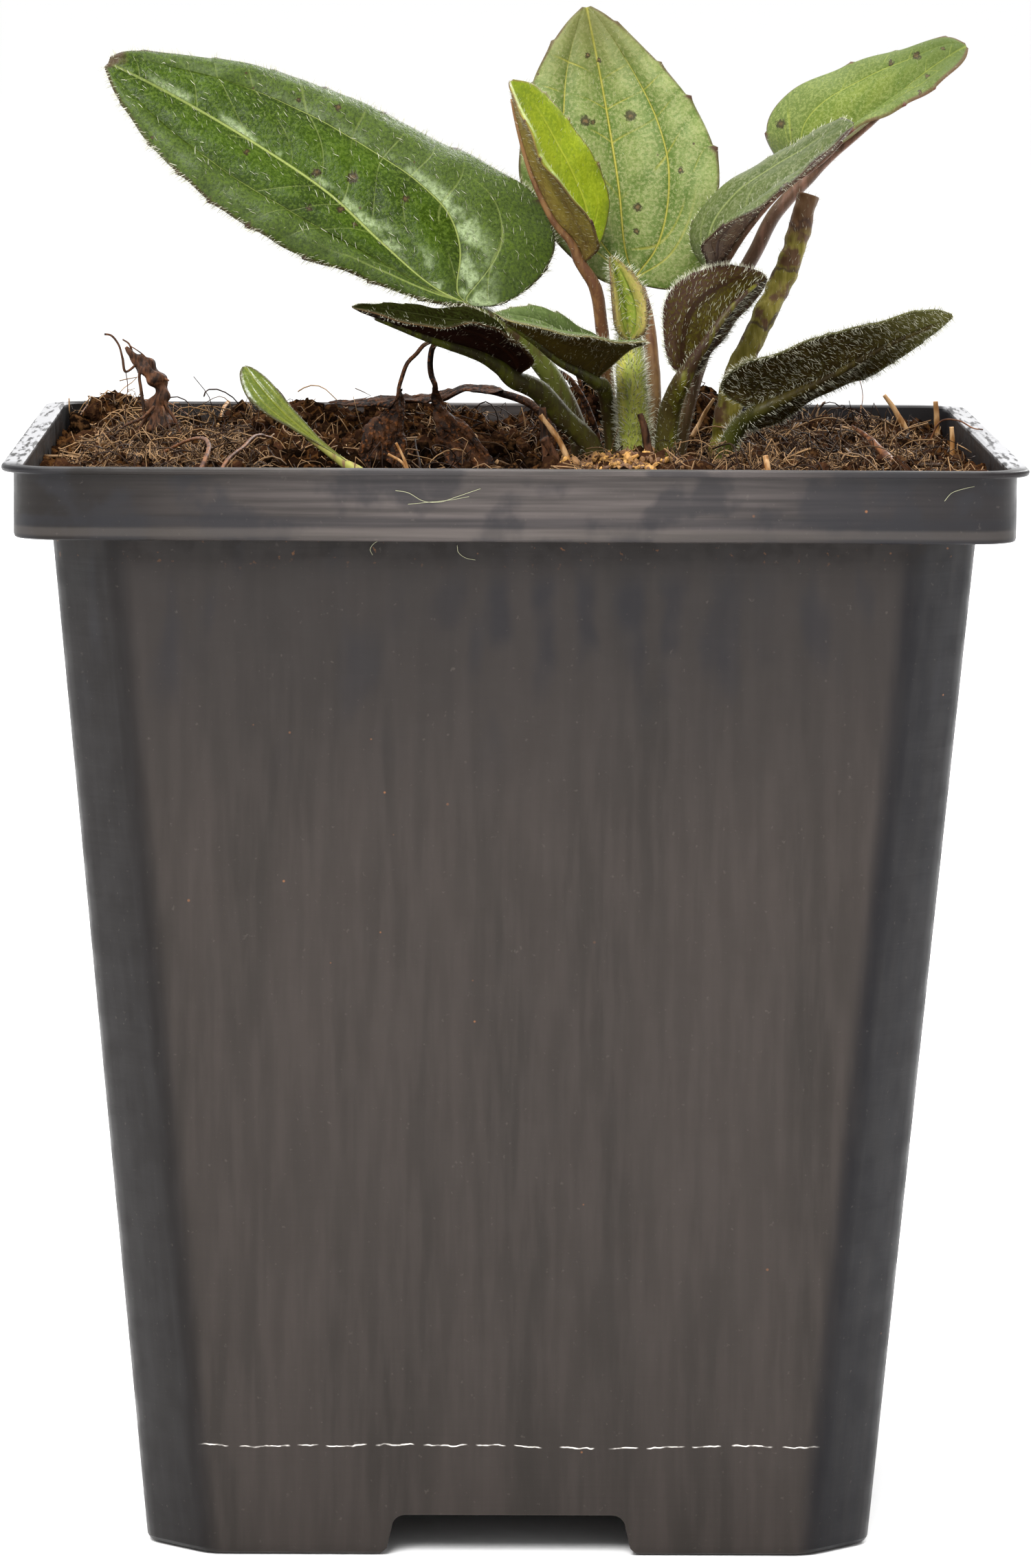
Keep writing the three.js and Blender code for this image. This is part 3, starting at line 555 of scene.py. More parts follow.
peat = Finish("peat")
lumps = peat.grain(3.4, 4)
fine = peat.grain(0.42, 4, rough=0.7)
threads_of_root = peat.cells(1.3, "DISTANCE_TO_EDGE", place=peat.stretched(1, 1, 0.4))
# Painted shade: the peat is painted near black in its crevices and lighter on its clods, darker still in the
# hollow
peat.base(peat.ramp(peat.read("rise"), -1.0, 0.8), "050302", "2b190e")
peat.coat(peat.ramp(lumps, 0.45, 0.65, 0, 0.6), "100804")
peat.coat(peat.ramp(fine, 0.52, 0.7, 0, 0.8), "442d1c")
peat.coat(peat.ramp(threads_of_root, 0.03, 0.1, 0.5, 0), "583a1e")
relief = peat.plus(peat.times(fine, 0.6), peat.times(lumps, 0.5))
peat_finish = peat.done(0.9, relief, Specular_IOR_Level=0.0)
soil = mesh_object("soil_peat", soil_points, soil_faces, [peat_finish])
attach(soil, "root")
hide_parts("soil")


def set_numbers(made, name, values):
    """Stores a number at every point of the mesh."""
    made.data.attributes.new(name, "FLOAT", "POINT").data.foreach_set("value", np.asarray(values, np.float32))


def set_vectors(made, name, values):
    flat = np.asarray(values, np.float32).reshape(-1)
    made.data.attributes.new(name, "FLOAT_VECTOR", "POINT").data.foreach_set("vector", flat)


def scatter_tree():
    """Geometry nodes that set a shape out over a surface, at random but always the same for one seed."""
    tree = bpy.data.node_groups.new("scatter", "GeometryNodeTree")
    kinds = {"Geometry": "Geometry", "Shape": "Object", "Material": "Material", "Seed": "Int"}
    numbers = ["Density", "Smallest", "Largest", "Lift", "Lean", "Spread", "Follow", "Sink", "Upright"]
    for name in [*kinds, *numbers]:
        tree.interface.new_socket(name, in_out="INPUT", socket_type="NodeSocket" + kinds.get(name, "Float"))
    tree.interface.new_socket("Geometry", in_out="OUTPUT", socket_type="NodeSocketGeometry")
    given = tree.nodes.new("NodeGroupInput").outputs

    def node(kind, inputs, output=0, **settings):
        return new_node(tree, kind, inputs, output, **settings)

    def number(operation, first, second):
        return node("ShaderNodeMath", {0: first, 1: second}, operation=operation)

    def scaled(vector, amount):
        return node("ShaderNodeVectorMath", {0: vector, "Scale": amount}, operation="SCALE")

    def added(first, second):
        return node("ShaderNodeVectorMath", {0: first, 1: second}, operation="ADD")

    def random_vector(reach, offset):
        inputs = {0: (-reach,) * 3, 1: (reach,) * 3, "Seed": number("ADD", given["Seed"], offset)}
        return node("FunctionNodeRandomValue", inputs, data_type="FLOAT_VECTOR")

    def random_number(low, high, offset):
        inputs = {2: low, 3: high, "Seed": number("ADD", given["Seed"], offset)}
        return node("FunctionNodeRandomValue", inputs, output=1, data_type="FLOAT")

    cover = node("GeometryNodeInputNamedAttribute", {"Name": "cover"})
    spots = tree.nodes.new("GeometryNodeDistributePointsOnFaces")
    tree.links.new(given["Geometry"], spots.inputs["Mesh"])
    tree.links.new(number("MULTIPLY", cover, given["Density"]), spots.inputs["Density"])
    tree.links.new(given["Seed"], spots.inputs["Seed"])
    normal = spots.outputs["Normal"]
    down = scaled(normal, number("MULTIPLY", given["Sink"], -1.0))
    sunk = node("GeometryNodeSetPosition", {"Geometry": spots.outputs["Points"], "Offset": down})
    grow = node("GeometryNodeInputNamedAttribute", {"Name": "grow"}, data_type="FLOAT_VECTOR")
    heading = added(scaled(normal, given["Lift"]), scaled(grow, given["Lean"]))
    heading = added(heading, scaled(random_vector(1.0, 1), given["Spread"]))
    flat = node("ShaderNodeCombineXYZ", {0: 1.0, 1: 1.0, 2: given["Upright"]})
    heading = node("ShaderNodeVectorMath", {0: heading, 1: flat}, operation="MULTIPLY")
    spin = node("FunctionNodeEulerToRotation", {0: random_vector(math.pi, 2)})
    turn = node("FunctionNodeAlignRotationToVector", {0: spin, 1: given["Follow"], 2: heading}, axis="Z")
    size = random_number(given["Smallest"], given["Largest"], 3.0)
    copied = node("GeometryNodeObjectInfo", {"Object": given["Shape"]}, output="Geometry")
    inputs = {"Points": sunk, "Instance": copied, "Rotation": turn, "Scale": size}
    placed = node("GeometryNodeInstanceOnPoints", inputs)
    inputs = {"Geometry": placed, "Name": "tint", "Value": random_number(0.0, 1.0, 4.0)}
    tinted = node("GeometryNodeStoreNamedAttribute", inputs, data_type="FLOAT", domain="INSTANCE")
    real = node("GeometryNodeRealizeInstances", {"Geometry": tinted})
    finished = node("GeometryNodeSetMaterial", {"Geometry": real, "Material": given["Material"]})
    tree.links.new(finished, tree.nodes.new("NodeGroupOutput").inputs[0])
    return tree


scatter = scatter_tree()


def scattered(name, ground, slot_name, **values):
    """A plain mesh of all the copies of a shape on the ground object, sizes in mm, riding on the root."""
    carrier = bpy.data.objects.new("carrier", ground.data)
    scene.collection.objects.link(carrier)
    modifier = carrier.modifiers.new("scatter", "NODES")
    modifier.node_group = scatter
    values["Density"] /= MM ** 2
    values["Sink"] = values.get("Sink", 0.0) * MM
    values.setdefault("Upright", 1.0)
    for item in scatter.interface.items_tree:
        if item.in_out == "INPUT" and item.name in values:
            modifier[item.identifier] = values[item.name]
    graph = bpy.context.evaluated_depsgraph_get()
    mesh = bpy.data.meshes.new_from_object(
        carrier.evaluated_get(graph), preserve_all_data_layers=True, depsgraph=graph
    )
    carrier.modifiers.clear()
    bpy.data.objects.remove(carrier)
    mesh.shade_smooth()
    made = bpy.data.objects.new(name, mesh)
    scene.collection.objects.link(made)
    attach(made, "root")
    return made


# Positions in a shape are in mm, and its scale in the scatter is a plain number
shapes = []


def shape(name, points, faces):
    made = mesh_object(name, points, faces, [])
    shapes.append(made)
    return made


def lump(name, seed, flat, rounds=1):
    """A crumb 1 mm across, with few faces."""
    ball = bmesh.new()
    bmesh.ops.create_icosphere(ball, subdivisions=rounds, radius=0.5)
    points = []
    for vertex in ball.verts:
        push = 1 + 0.6 * noise.noise(vertex.co * 3.1 + Vector((seed, seed, seed)))
        points.append((vertex.co.x * push, vertex.co.y * push * 0.8, vertex.co.z * push * flat))
    faces = [[v.index for v in face.verts] for face in ball.faces]
    ball.free()
    return shape(name, points, faces)


def smooth_curve(points):
    """Close samples of a smooth curve through the points, and its length at each."""
    given = np.array(points, float)
    given = np.vstack([2 * given[0] - given[1], given, 2 * given[-1] - given[-2]])
    parts = []
    for number in range(1, len(given) - 2):
        before, first, last, after = given[number - 1:number + 3]
        gap_before = math.sqrt(np.linalg.norm(first - before))
        gap = math.sqrt(np.linalg.norm(last - first))
        gap_after = math.sqrt(np.linalg.norm(after - last))
        out = (first - before) / gap_before - (last - before) / (gap_before + gap) + (last - first) / gap
        into = (last - first) / gap - (after - first) / (gap + gap_after) + (after - last) / gap_after
        out, into = out * gap, into * gap
        share = np.linspace(0, 1, 40, endpoint=False)[:, None]
        cubic = (2 * first - 2 * last + out + into) * share ** 3
        parts.append(first + out * share + (3 * last - 3 * first - 2 * out - into) * share ** 2 + cubic)
    dense = np.vstack([*parts, given[-2:-1]])
    steps = np.linalg.norm(np.diff(dense, axis=0), axis=1)
    return dense, np.concatenate([[0], np.cumsum(steps)])


def points_at(points, shares):
    """The points of the smooth curve at these shares of its length."""
    dense, length = smooth_curve(points)
    wanted = np.asarray(shares) * length[-1]
    return np.column_stack([np.interp(wanted, length, dense[:, axis]) for axis in range(3)])


def unit(vectors):
    size = np.linalg.norm(vectors, axis=-1, keepdims=True)
    return vectors / np.maximum(size, 1e-9)


def tube(route, radii, sides, steps, ridges=0.0, lumpy=0.0, seed=0):
    """Points and faces of a closed tapered tube along a smooth route. Radii go with the route's points."""
    route = np.array(route, float)
    chords = np.concatenate([[0], np.cumsum(np.linalg.norm(np.diff(route, axis=0), axis=1))])
    shares = np.linspace(0, 1, steps + 1)
    centres = points_at(route, shares)
    size = np.interp(shares, chords / chords[-1], radii)
    tangents = unit(np.gradient(centres, axis=0))
    side = unit(np.cross(tangents[0], (0.31, 0.87, 0.38)))
    turns = np.linspace(0, 2 * math.pi, sides, endpoint=False)
    rings = []
    for centre, tangent, radius in zip(centres, tangents, size):
        side = unit(side - tangent * np.dot(side, tangent))
        other = np.cross(tangent, side)
        ring = []
        for turn in turns:
            out = side * math.cos(turn) + other * math.sin(turn)
            swell = 1 + ridges * math.cos(5 * turn)
            if lumpy:
                swell += lumpy * noise.noise(Vector(centre * 0.9 + out * 0.6) + Vector((seed, 0, 0)))
            ring.append(tuple(centre + out * radius * swell))
        rings.append(ring)
    return loft(rings)


def curl(name, length, thickness, turns, seed, swing=0.42, steps=10):
    """A curled rootlet along Z, from its thick end to its thin one."""
    route = []
    for step in range(8):
        share = step / 7
        route.append((
            swing * length * noise.noise(Vector((share * turns, seed, 0))),
            swing * length * noise.noise(Vector((share * turns, seed, 9))),
            length * (share - 0.5),
        ))
    return shape(name, *tube(route, np.linspace(thickness, thickness * 0.5, 8), 3, steps))


# Painted shade darkens the peat and its crumbs in a broad hollow left of the crown; the crumbs keep off the
# wall
hollow_x = -9
hollow_y = -10
soil_x, soil_y = np.array(soil_points)[:, :2].T
on_top = np.arange(len(soil_x)) < row_length ** 2
off_wall = soil_half - np.maximum(np.abs(soil_x), np.abs(soil_y))
rise = np.concatenate([soil_rise, np.zeros(len(soil_x) - len(soil_rise))])
hollow = np.exp(-((soil_x - hollow_x) / 12) ** 4 - ((soil_y - hollow_y) / 22) ** 4)
set_numbers(soil, "rise", rise - 0.7 * hollow)
clear = on_top * np.clip((off_wall - 1.1) / 1.2, 0, 1)
set_numbers(soil, "cover", clear)
crumb = Finish("peat_crumb")
grain = crumb.grain(0.6, 3)
crumb.base(crumb.ramp(crumb.read("tint"), 0.1, 1), "0b0604", "2f1d13")
crumb.coat(crumb.ramp(grain, 0.47, 0.68, 0, 0.75), "46301c")
hollow_centre = {0: crumb.place, 1: (hollow_x * MM, hollow_y * MM, soil_height * MM)}
off_hollow = crumb.node("ShaderNodeVectorMath", hollow_centre, output="Value", operation="DISTANCE")
# Painted shade over the crumbs in the hollow
crumb.coat(crumb.ramp(crumb.times(off_hollow, 1 / MM), 13, 23, 0.85, 0), "090503")
crumb_finish = crumb.done(0.9, crumb.times(grain, 0.4), Specular_IOR_Level=0.0)
fibre = Finish("peat_fibre")
fibre.base(fibre.ramp(fibre.read("tint"), 0.3, 1), "1f130b", "8f704e")
fibre.coat(fibre.patches(0.8, 2, 0.4, 0.7, 0, 0.4), "38200f")
fibre_finish = fibre.done(0.6, Specular_IOR_Level=0.1)
# Seed, flatness and roundness of a kind, how many lie on a square mm, and their least and greatest size
crumb_kinds = [(3.1, 0.8, 1, 0.68, 0.5, 1.9), (7.7, 0.6, 1, 0.68, 0.3, 1.0), (5.2, 0.7, 2, 0.05, 1.6, 2.8)]
for number, (seed, flat, rounds, density, smallest, largest) in enumerate(crumb_kinds):
    scattered(
        f"soil_crumbs_{number + 1}", soil, "peat", Shape=lump(f"lump_{number}", seed, flat, rounds),
        Material=crumb_finish, Seed=11 + number, Density=density, Smallest=smallest, Largest=largest,
        Follow=0.0, Sink=0.12,
    )

# The rootlets are thickest at the left and the right, and few in the dark hollow between
tangled = np.clip((-soil_x - 22) / 6, 0, 1) + np.clip((soil_x - 12) / 8, 0, 1)
ground = bpy.data.objects.new("ground", soil.data.copy())
rootlet_kinds = [
    # length, thickness, curls, how many lie on a square mm, and steps along one
    (5.5, 0.065, 4.0, 0.26, 12), (4.0, 0.055, 5.0, 0.36, 10), (8.5, 0.085, 3.4, 0.09, 16),
    (2.4, 0.045, 2.5, 0.6, 6),
]
for number, (length, thickness, turns, density, steps) in enumerate(rootlet_kinds):
    within = on_top * np.clip((off_wall - 0.55 * length) / 1.5, 0, 1) * (0.16 + 0.84 * tangled)
    ground.data.attributes["cover"].data.foreach_set("value", within.astype(np.float32))
    scattered(
        f"soil_fibres_{number + 1}", ground, "peat", Material=fibre_finish,
        Shape=curl(f"curl_{number}", length, thickness, turns, 2.7 * number + 1, steps=steps),
        Seed=31 + number, Density=density, Smallest=0.6, Largest=1.2, Lift=0.0, Spread=1.0, Follow=1.0,
        Upright=0.28, Sink=-0.25,
    )
scattered(
    "soil_sticks", ground, "peat", Shape=curl("stick", 5, 0.2, 1.2, 5.5, swing=0.2), Seed=41,
    Material=fibre_finish, Density=0.03, Smallest=0.5, Largest=1.2, Lift=0.0, Spread=1.0, Follow=1.0,
    Upright=0.4, Sink=-0.3,
)

# Golden flakes of rotted bark are heaped before the foot of the crown
flakes_x = 9
flakes_y = -16
near_crown = np.exp(-(((soil_x - flakes_x) / 5.5) ** 2 + ((soil_y - flakes_y) / 11) ** 2) ** 2)
near_crown *= 0.4 + np.sin(1.7 * soil_x + 0.8 * soil_y) ** 2
ground.data.attributes["cover"].data.foreach_set("value", (clear * near_crown).astype(np.float32))
flake = Finish("flake")
flake.base(flake.ramp(flake.read("tint"), 0.25, 1), "4e2f14", "b4853f")
flake.coat(flake.patches(0.5, 3, 0.4, 0.65, 0, 0.6), "563511")
flake_finish = flake.done(0.7, flake.times(flake.grain(0.3, 3), 0.2))
scattered(
    "soil_flakes", ground, "peat", Shape=lump("flake", 1.4, 0.4), Material=flake_finish, Seed=51,
    Density=4.0, Smallest=0.5, Largest=1.6, Lift=0.6, Spread=1.0, Follow=0.7, Sink=-0.4,
)
scattered(
    "soil_flake_fibres", ground, "peat", Shape=curl("flake_curl", 2.2, 0.06, 3.0, 8.1, steps=6), Seed=52,
    Material=flake_finish, Density=1.6, Smallest=0.5, Largest=1.1, Spread=1.0, Follow=1.0, Upright=0.5,
    Sink=-0.5,
)
bpy.data.objects.remove(ground)

# Largest leaf: its upper side faces the front. It is grown as one thin soft blade, three-nerved, cushioned
# between its veins and thinly set with bristles, on a stalk that runs on as the rib's underside.
# Left and right are as seen on the upper side with the tip away. Numbers are in mm, as in the frame.
blade_thickness = 0.34
rib_reach = 0.93
twig_gap = 3.9
fan_place = 0.85
fan_spread = 0.145
stalk_sides = 14
stalk_steps = 96
bare_foot = 0.6


def leaf_finish(
    name, pale, deep, vein, margin, outer=None, grains=None, shine=0.42, halo=0.5, twigs=0.25, specks=0.4,
    spots=(), burnt_tip=0.0, vein_width=1.0, pimples=0.03, level=0.2, tip=None, tip_start=0.4, painted_sheen=0.0,
    spot_heart=0.25,
):
    """The blade's surface: deep green along the veins, outer beyond the side veins, and a pale grain in the
    colour called grains. Spots are x, z and radius of the brown spots."""
    made = Finish(name)
    along = made.read("along")
    rib_side = made.read("rib_mm")
    beyond = made.read("vein_mm")
    rib, side, fan = [made.number("ABSOLUTE", off) for off in (rib_side, beyond, made.read("fan_mm"))]
    twig = made.times(made.number("PINGPONG", made.read("branch"), 0.5), 2.6)
    edge = made.read("edge_mm")
    cloud = made.grain(4.5, 3)
    mottle = made.grain(0.3, 3, rough=0.7)
    near_vein = made.number("MINIMUM", rib, side)
    near_vein = made.number("MINIMUM", near_vein, made.number("MULTIPLY_ADD", twig, 1.6, 0.4))
    shade = made.times(made.ramp(near_vein, 0.15, 1.6, 1, 0), halo)
    made.base(made.plus(shade, made.ramp(cloud, 0.35, 0.7, 0, 1 - halo)), pale, deep)
    if outer:
        at_foot = made.ramp(along, 0.05, 0.3, 0.6, 0)
        made.coat(made.number("MAXIMUM", made.ramp(beyond, -0.8, 1.4, 0, 0.8), at_foot), outer)
    made.coat(made.ramp(mottle, 0.48, 0.6, 0, 0.6), grains or pale)
    made.coat(made.ramp(mottle, 0.36, 0.46, 0.5, 0), deep)
    if tip:
        made.coat(made.ramp(along, tip_start, 0.97, 0, 0.8), tip)
    # Painted highlight: pale streaks along the upper side of the rib and, mostly near the foot, beyond the
    # side vein, where the gloss would catch the lamp
    if painted_sheen:
        highlight_width = made.ramp(along, 0.06, 0.45, 5.0, 1.3)
        for off_line, upper_share in ((rib_side, 1), (beyond, 0.25)):
            far = made.number("DIVIDE", off_line, highlight_width)
            painted_highlight = made.times(
                made.ramp(off_line, 0.05, 0.25), made.ramp(far, 0.25, 1, 1, 0),
                made.ramp(rib_side, -0.1, 0.3), made.patches(2.4, 2, 0.42, 0.58, 0, painted_sheen),
                made.ramp(made.grain(0.35, 3, rough=0.7), 0.36, 0.6, 0.35, 1),
                made.ramp(along, 0.3, 0.5, 1, upper_share), made.ramp(along, 0.75, 0.95, 1, 0.3),
            )
            made.coat(painted_highlight, "8c9a72")
    fade = made.times(made.ramp(edge, 0.3, 2.4), made.patches(5, 1, 0.38, 0.58))
    lines = made.times(made.ramp(twig, 0.03 * vein_width, 0.13 * vein_width, twigs, 0), fade)
    for off_line, narrow, wide, strength, paling in (
        (rib, 0.1, 0.26, 0.9, (0.5, 1, 1, 0.45)),
        (side, 0.07, 0.19, 0.75, (0.6, 0.92, 1, 0)),
        (fan, 0.05, 0.16, 0.55, (0.12, 0.42, 1, 0)),
    ):
        line = made.ramp(off_line, narrow * vein_width, wide * vein_width, strength, 0)
        lines = made.number("MAXIMUM", lines, made.times(line, made.ramp(along, *paling)))
    made.coat(lines, vein)
    if specks:
        dots = made.ramp(made.cells(2.3), 0.04, 0.07, 1, 0)
        made.coat(made.times(dots, made.patches(5, 1, 0.5, 0.56), specks), "35241a")
    flat_place = made.node("ShaderNodeVectorMath", {0: made.place, 1: (1, 0, 1)}, operation="MULTIPLY")
    for x, z, radius in spots:
        centre = {0: flat_place, 1: (x * MM, 0, z * MM)}
        away = made.node("ShaderNodeVectorMath", centre, output="Value", operation="DISTANCE")
        away = made.plus(made.times(away, 1 / MM), made.ramp(mottle, 0.3, 0.7, -0.12, 0.12))
        made.coat(made.ramp(away, radius * 0.9, radius * 1.5, 0.85, 0), "24180e")
        made.coat(made.ramp(away, radius * 0.2, radius * 0.7, spot_heart, 0), "7c6240")
    if burnt_tip:
        burnt = made.plus(along, made.ramp(cloud, 0.3, 0.7, -0.03, 0.03))
        made.coat(made.ramp(burnt, 1 - burnt_tip, 1 - burnt_tip * 0.4, 0, 0.85), "3d2c22")
    rim_line = made.times(made.ramp(edge, 0.1, 0.34, 0.8, 0), made.patches(3, 2, 0.3, 0.6, 0.4, 1))
    made.coat(made.number("MAXIMUM", rim_line, made.ramp(made.read("tooth"), 0.25, 0.6)), margin)
    dents = made.plus(made.times(lines, -0.07), made.times(mottle, pimples))
    dents = made.plus(dents, made.times(made.grain(1.1, 3), 0.12))
    roughness = made.ramp(mottle, 0.3, 0.7, shine - 0.06, shine + 0.12)
    return made.done(roughness, dents, Specular_IOR_Level=level)


def stalk_finish(
    name, light, dark, streak_share=0.5, low=96, high=108, low_tint="4a3a1c", low_amount=0.55, sides=None
):
    """The stalk's surface: lengthwise streaks of a light and a dark colour, and another tint towards the
    soil. Sides is the colour of the stalk's left flank."""
    made = Finish(name)
    streaks = made.grain(0.55, 3, made.stretched(1, 1, 0.09))
    broad = made.grain(2.2, 2, made.stretched(1, 1, 0.2))
    both = made.plus(made.times(streaks, 0.5), made.times(broad, 0.5))
    middle = 0.42 + 0.16 * (1 - streak_share)
    made.base(made.ramp(both, middle - 0.08, middle + 0.08), light, dark)
    if sides:
        facing = made.node("ShaderNodeSeparateXYZ", {0: made.node("ShaderNodeTexCoord", {}, output="Normal")})
        made.coat(made.ramp(facing, -0.75, -0.2, 0.8, 0), sides)
    made.coat(made.ramp(made.axis("Z"), low, high, low_amount, 0), low_tint)
    made.coat(made.ramp(made.grain(0.25, 2), 0.5, 0.7, 0, 0.25), light)
    return made.done(0.5, made.times(streaks, 0.09), Specular_IOR_Level=0.2)


def pleated(share, across, seed, reach):
    """How far a dried sheet is pushed out at each point, in mm: folds that run mostly along the rib."""
    push = np.zeros(across.shape)
    for length, width, part in ((5, 1.3, 0.5), (2.2, 0.7, 0.3), (0.8, 0.5, 0.2)):
        for row_number, row in enumerate(across):
            for column, place in enumerate(row):
                spot = Vector((share[row_number] / length, place / width + 0.4 * share[row_number], seed))
                push[row_number, column] += part * (1 - 3 * abs(noise.noise(spot)))
    return reach * push


def twig_count(run, off, seed):
    """Counts the small side veins up to a place, from its mm along the rib and off the rib."""
    bend = 0.22 * np.sin(0.55 * off + 1.3 * seed) + 0.3 * np.sin(0.35 * run)
    return (run - 0.9 * np.abs(off)) / twig_gap + bend


def make_leaf(
    name, finishes, stalk_radius, stalk, rib, left, right, rows=100, columns=34, arch=0.07,
    relief=0.22, tooth=0.35, tooth_gap=4.6, wave=0.16, crumple=0.0, vein_place=0.54, vein_spread=0.09,
    seed=0.0, upper_cover=0.4, under_cover=0.6, edge_cover=1.6, stalk_cover=1.0, rib_end=0.16,
):
    """The leaf as one object, with the distances in mm that its finish reads, and what its bristles need:
    cover is how dense they stand, and grow is where they point."""
    # Part is the share of the way along the rib, and out that from the rib to the edge
    share = np.linspace(0.004, 0.985, rows + 1)
    middle = points_at(rib, share)
    along = unit(np.gradient(middle, axis=0))
    rib_length = smooth_curve(rib)[1][-1]
    part = share[:, None]
    run = part * rib_length
    fade = np.sin(math.pi * part) ** 0.5
    vein = vein_place * (1 - np.exp(-part / vein_spread))
    fan = fan_place * (1 - np.exp(-part / fan_spread))
    out = np.linspace(0, 1, columns + 1)[None, :]
    halves, from_rib, from_vein, from_fan, from_edge, teeth_marks = [], [], [], [], [], []
    for sign, edge_points in ((-1, left), (1, right)):
        edge = points_at([rib[0], *edge_points, rib[-1]], share)
        across = edge - middle
        width = np.linalg.norm(across, axis=1)[:, None]
        up = sign * np.cross(unit(across), along)
        place = run / tooth_gap + 0.37 * sign + seed + 0.3 * np.sin(9 * part)
        saw = (place % 1) ** 6 * fade * (tooth > 0)
        reach = out * (1 + tooth * saw / np.maximum(width, 1) * out ** 12)
        inner = np.sin(math.pi * np.clip(out / np.maximum(vein, 0.02), 0, 1))
        outer = np.sin(math.pi * np.clip((out - vein) / (1 - vein), 0, 1))
        lobes = np.where(out < vein, inner, outer) * fade
        cushions = np.abs(np.sin(math.pi * twig_count(run, sign * out * width, seed))) * lobes
        swell = lobes * 0.75 + cushions * 0.12 - 0.45
        ripple = np.sin(0.75 * run + 2.1 * sign + seed) + 0.6 * np.sin(1.6 * run + seed)
        height = arch * width * 4 * out * (1 - out) + wave * ripple * fade * out ** 2
        height = height + relief * swell * np.minimum(width / 5, 1) * np.minimum(4 * out, 1)
        halves.append(middle[:, None] + across[:, None] * reach[..., None] + up[:, None] * height[..., None])
        from_rib.append(sign * out * width)
        from_vein.append((out - vein) * width)
        from_fan.append((out - fan) * width)
        from_edge.append(width - out * width)
        teeth_marks.append(saw * out ** 12)

    def whole(pair):
        """Both halves side by side, from the left edge over the rib to the right edge."""
        return np.concatenate([pair[0][:, :0:-1], pair[1]], axis=1)

    grid = whole(halves)
    rib_mm = whole(from_rib)
    edge_mm = np.minimum(whole(from_edge), (1 - part) * rib_length * 0.8 + 0.05)

    def normals_of(points):
        return unit(np.cross(np.gradient(points, axis=1), np.gradient(points, axis=0)))

    if crumple:
        grid = grid + normals_of(grid) * pleated(run[:, 0], rib_mm, seed, crumple)[..., None]
    normals = normals_of(grid)
    width_across = np.linalg.norm(grid[:, 0] - grid[:, -1], axis=1)
    half = 0.5 * blade_thickness * np.clip(width_across / 3, 0.12, 1)[:, None]
    half = half * (1 - 0.6 * np.clip(1 - edge_mm / 0.5, 0, 1) ** 2)
    upper = grid + normals * half[..., None]
    under = grid - normals * half[..., None]
    count = 2 * columns + 1
    total = (rows + 1) * count
    # The upper and the under face are alike, and a skirt joins them round their border
    row_of, column_of = np.meshgrid(np.arange(rows), np.arange(count - 1), indexing="ij")
    corner = (row_of * count + column_of).reshape(-1)
    top = np.stack([corner, corner + 1, corner + 1 + count, corner + count], axis=1)
    bottom = total + top[:, ::-1]
    border = [(row * count, (row + 1) * count) for row in range(rows)]
    border += [((row + 2) * count - 1, (row + 1) * count - 1) for row in range(rows)]
    border += [(column + 1, column) for column in range(count - 1)]
    border += [(rows * count + column, rows * count + column + 1) for column in range(count - 1)]
    skirt = [[first, second, second + total, first + total] for first, second in border]
    # The stalk runs on under the rib and thins out towards the tip
    route = [list(point) for point in stalk]
    radii = [stalk_radius * 1.1] + [stalk_radius] * (len(stalk) - 1)
    for row in range(2, int(rows * rib_reach), max(rows // 14, 1)):
        radius = stalk_radius + (rib_end - stalk_radius) * (row / rows / rib_reach) ** 0.45
        route.append(grid[row, columns] - normals[row, columns] * (0.9 * radius + 0.02))
        radii.append(radius)
    tube_points, tube_faces = tube(
        route, radii, stalk_sides, stalk_steps, ridges=0.035, lumpy=0.05, seed=seed
    )
    on_tube = np.array(tube_points)
    points = np.concatenate([upper.reshape(-1, 3), under.reshape(-1, 3), on_tube])
    faces = top.tolist() + bottom.tolist() + skirt + [[i + 2 * total for i in face] for face in tube_faces]
    face_materials = [0] * len(top) + [1] * (len(bottom) + len(skirt)) + [2] * len(tube_faces)
    made = mesh_object(name, points, faces, finishes, face_materials)
    fields = {
        "rib_mm": rib_mm, "vein_mm": whole(from_vein), "fan_mm": whole(from_fan), "edge_mm": edge_mm,
        "branch": twig_count(run, rib_mm, seed), "along": part, "tooth": whole(teeth_marks),
    }
    for key, field in fields.items():
        field = np.broadcast_to(field, (rows + 1, count)).reshape(-1)
        set_numbers(made, key, np.concatenate([field, field, np.zeros(len(on_tube))]))
    at_edge = np.clip(1 - edge_mm / 0.4, 0, 1) * edge_cover
    steps = np.linspace(0, 1, stalk_steps + 1)
    on_stalk = (on_tube[:, 2] > soil_height + bare_foot) * stalk_cover
    on_stalk = on_stalk * (1 - 0.4 * np.repeat(steps, stalk_sides))
    cover = [(upper_cover + at_edge).reshape(-1), (under_cover + at_edge).reshape(-1), on_stalk]
    set_numbers(made, "cover", np.concatenate(cover))
    outward = unit(np.gradient(grid, axis=1)) * np.sign(rib_mm)[..., None]
    grow = along[:, None] * 0.7 + outward * (1.5 * np.clip(1 - edge_mm / 0.5, 0, 1))[..., None]
    stalk_grow = np.repeat(unit(np.gradient(points_at(route, steps), axis=0)), stalk_sides, axis=0) * 0.5
    set_vectors(made, "grow", np.concatenate([grow.reshape(-1, 3), grow.reshape(-1, 3), stalk_grow]))
    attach(made, "root")
    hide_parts(name)
    return made


bristle_route = [(0, 0, -0.06), (0.01, 0, 0.35), (0.06, 0, 0.7), (0.17, 0, 1)]
bristle = shape("bristle", *tube(bristle_route, [0.042, 0.036, 0.024, 0.006], 3, 3))
bristle_white = Finish("bristle")
bristle_white.base(bristle_white.read("tint"), "8c8c72", "dcdac6")
bristle_finish = bristle_white.done(0.5, Specular_IOR_Level=0.2)


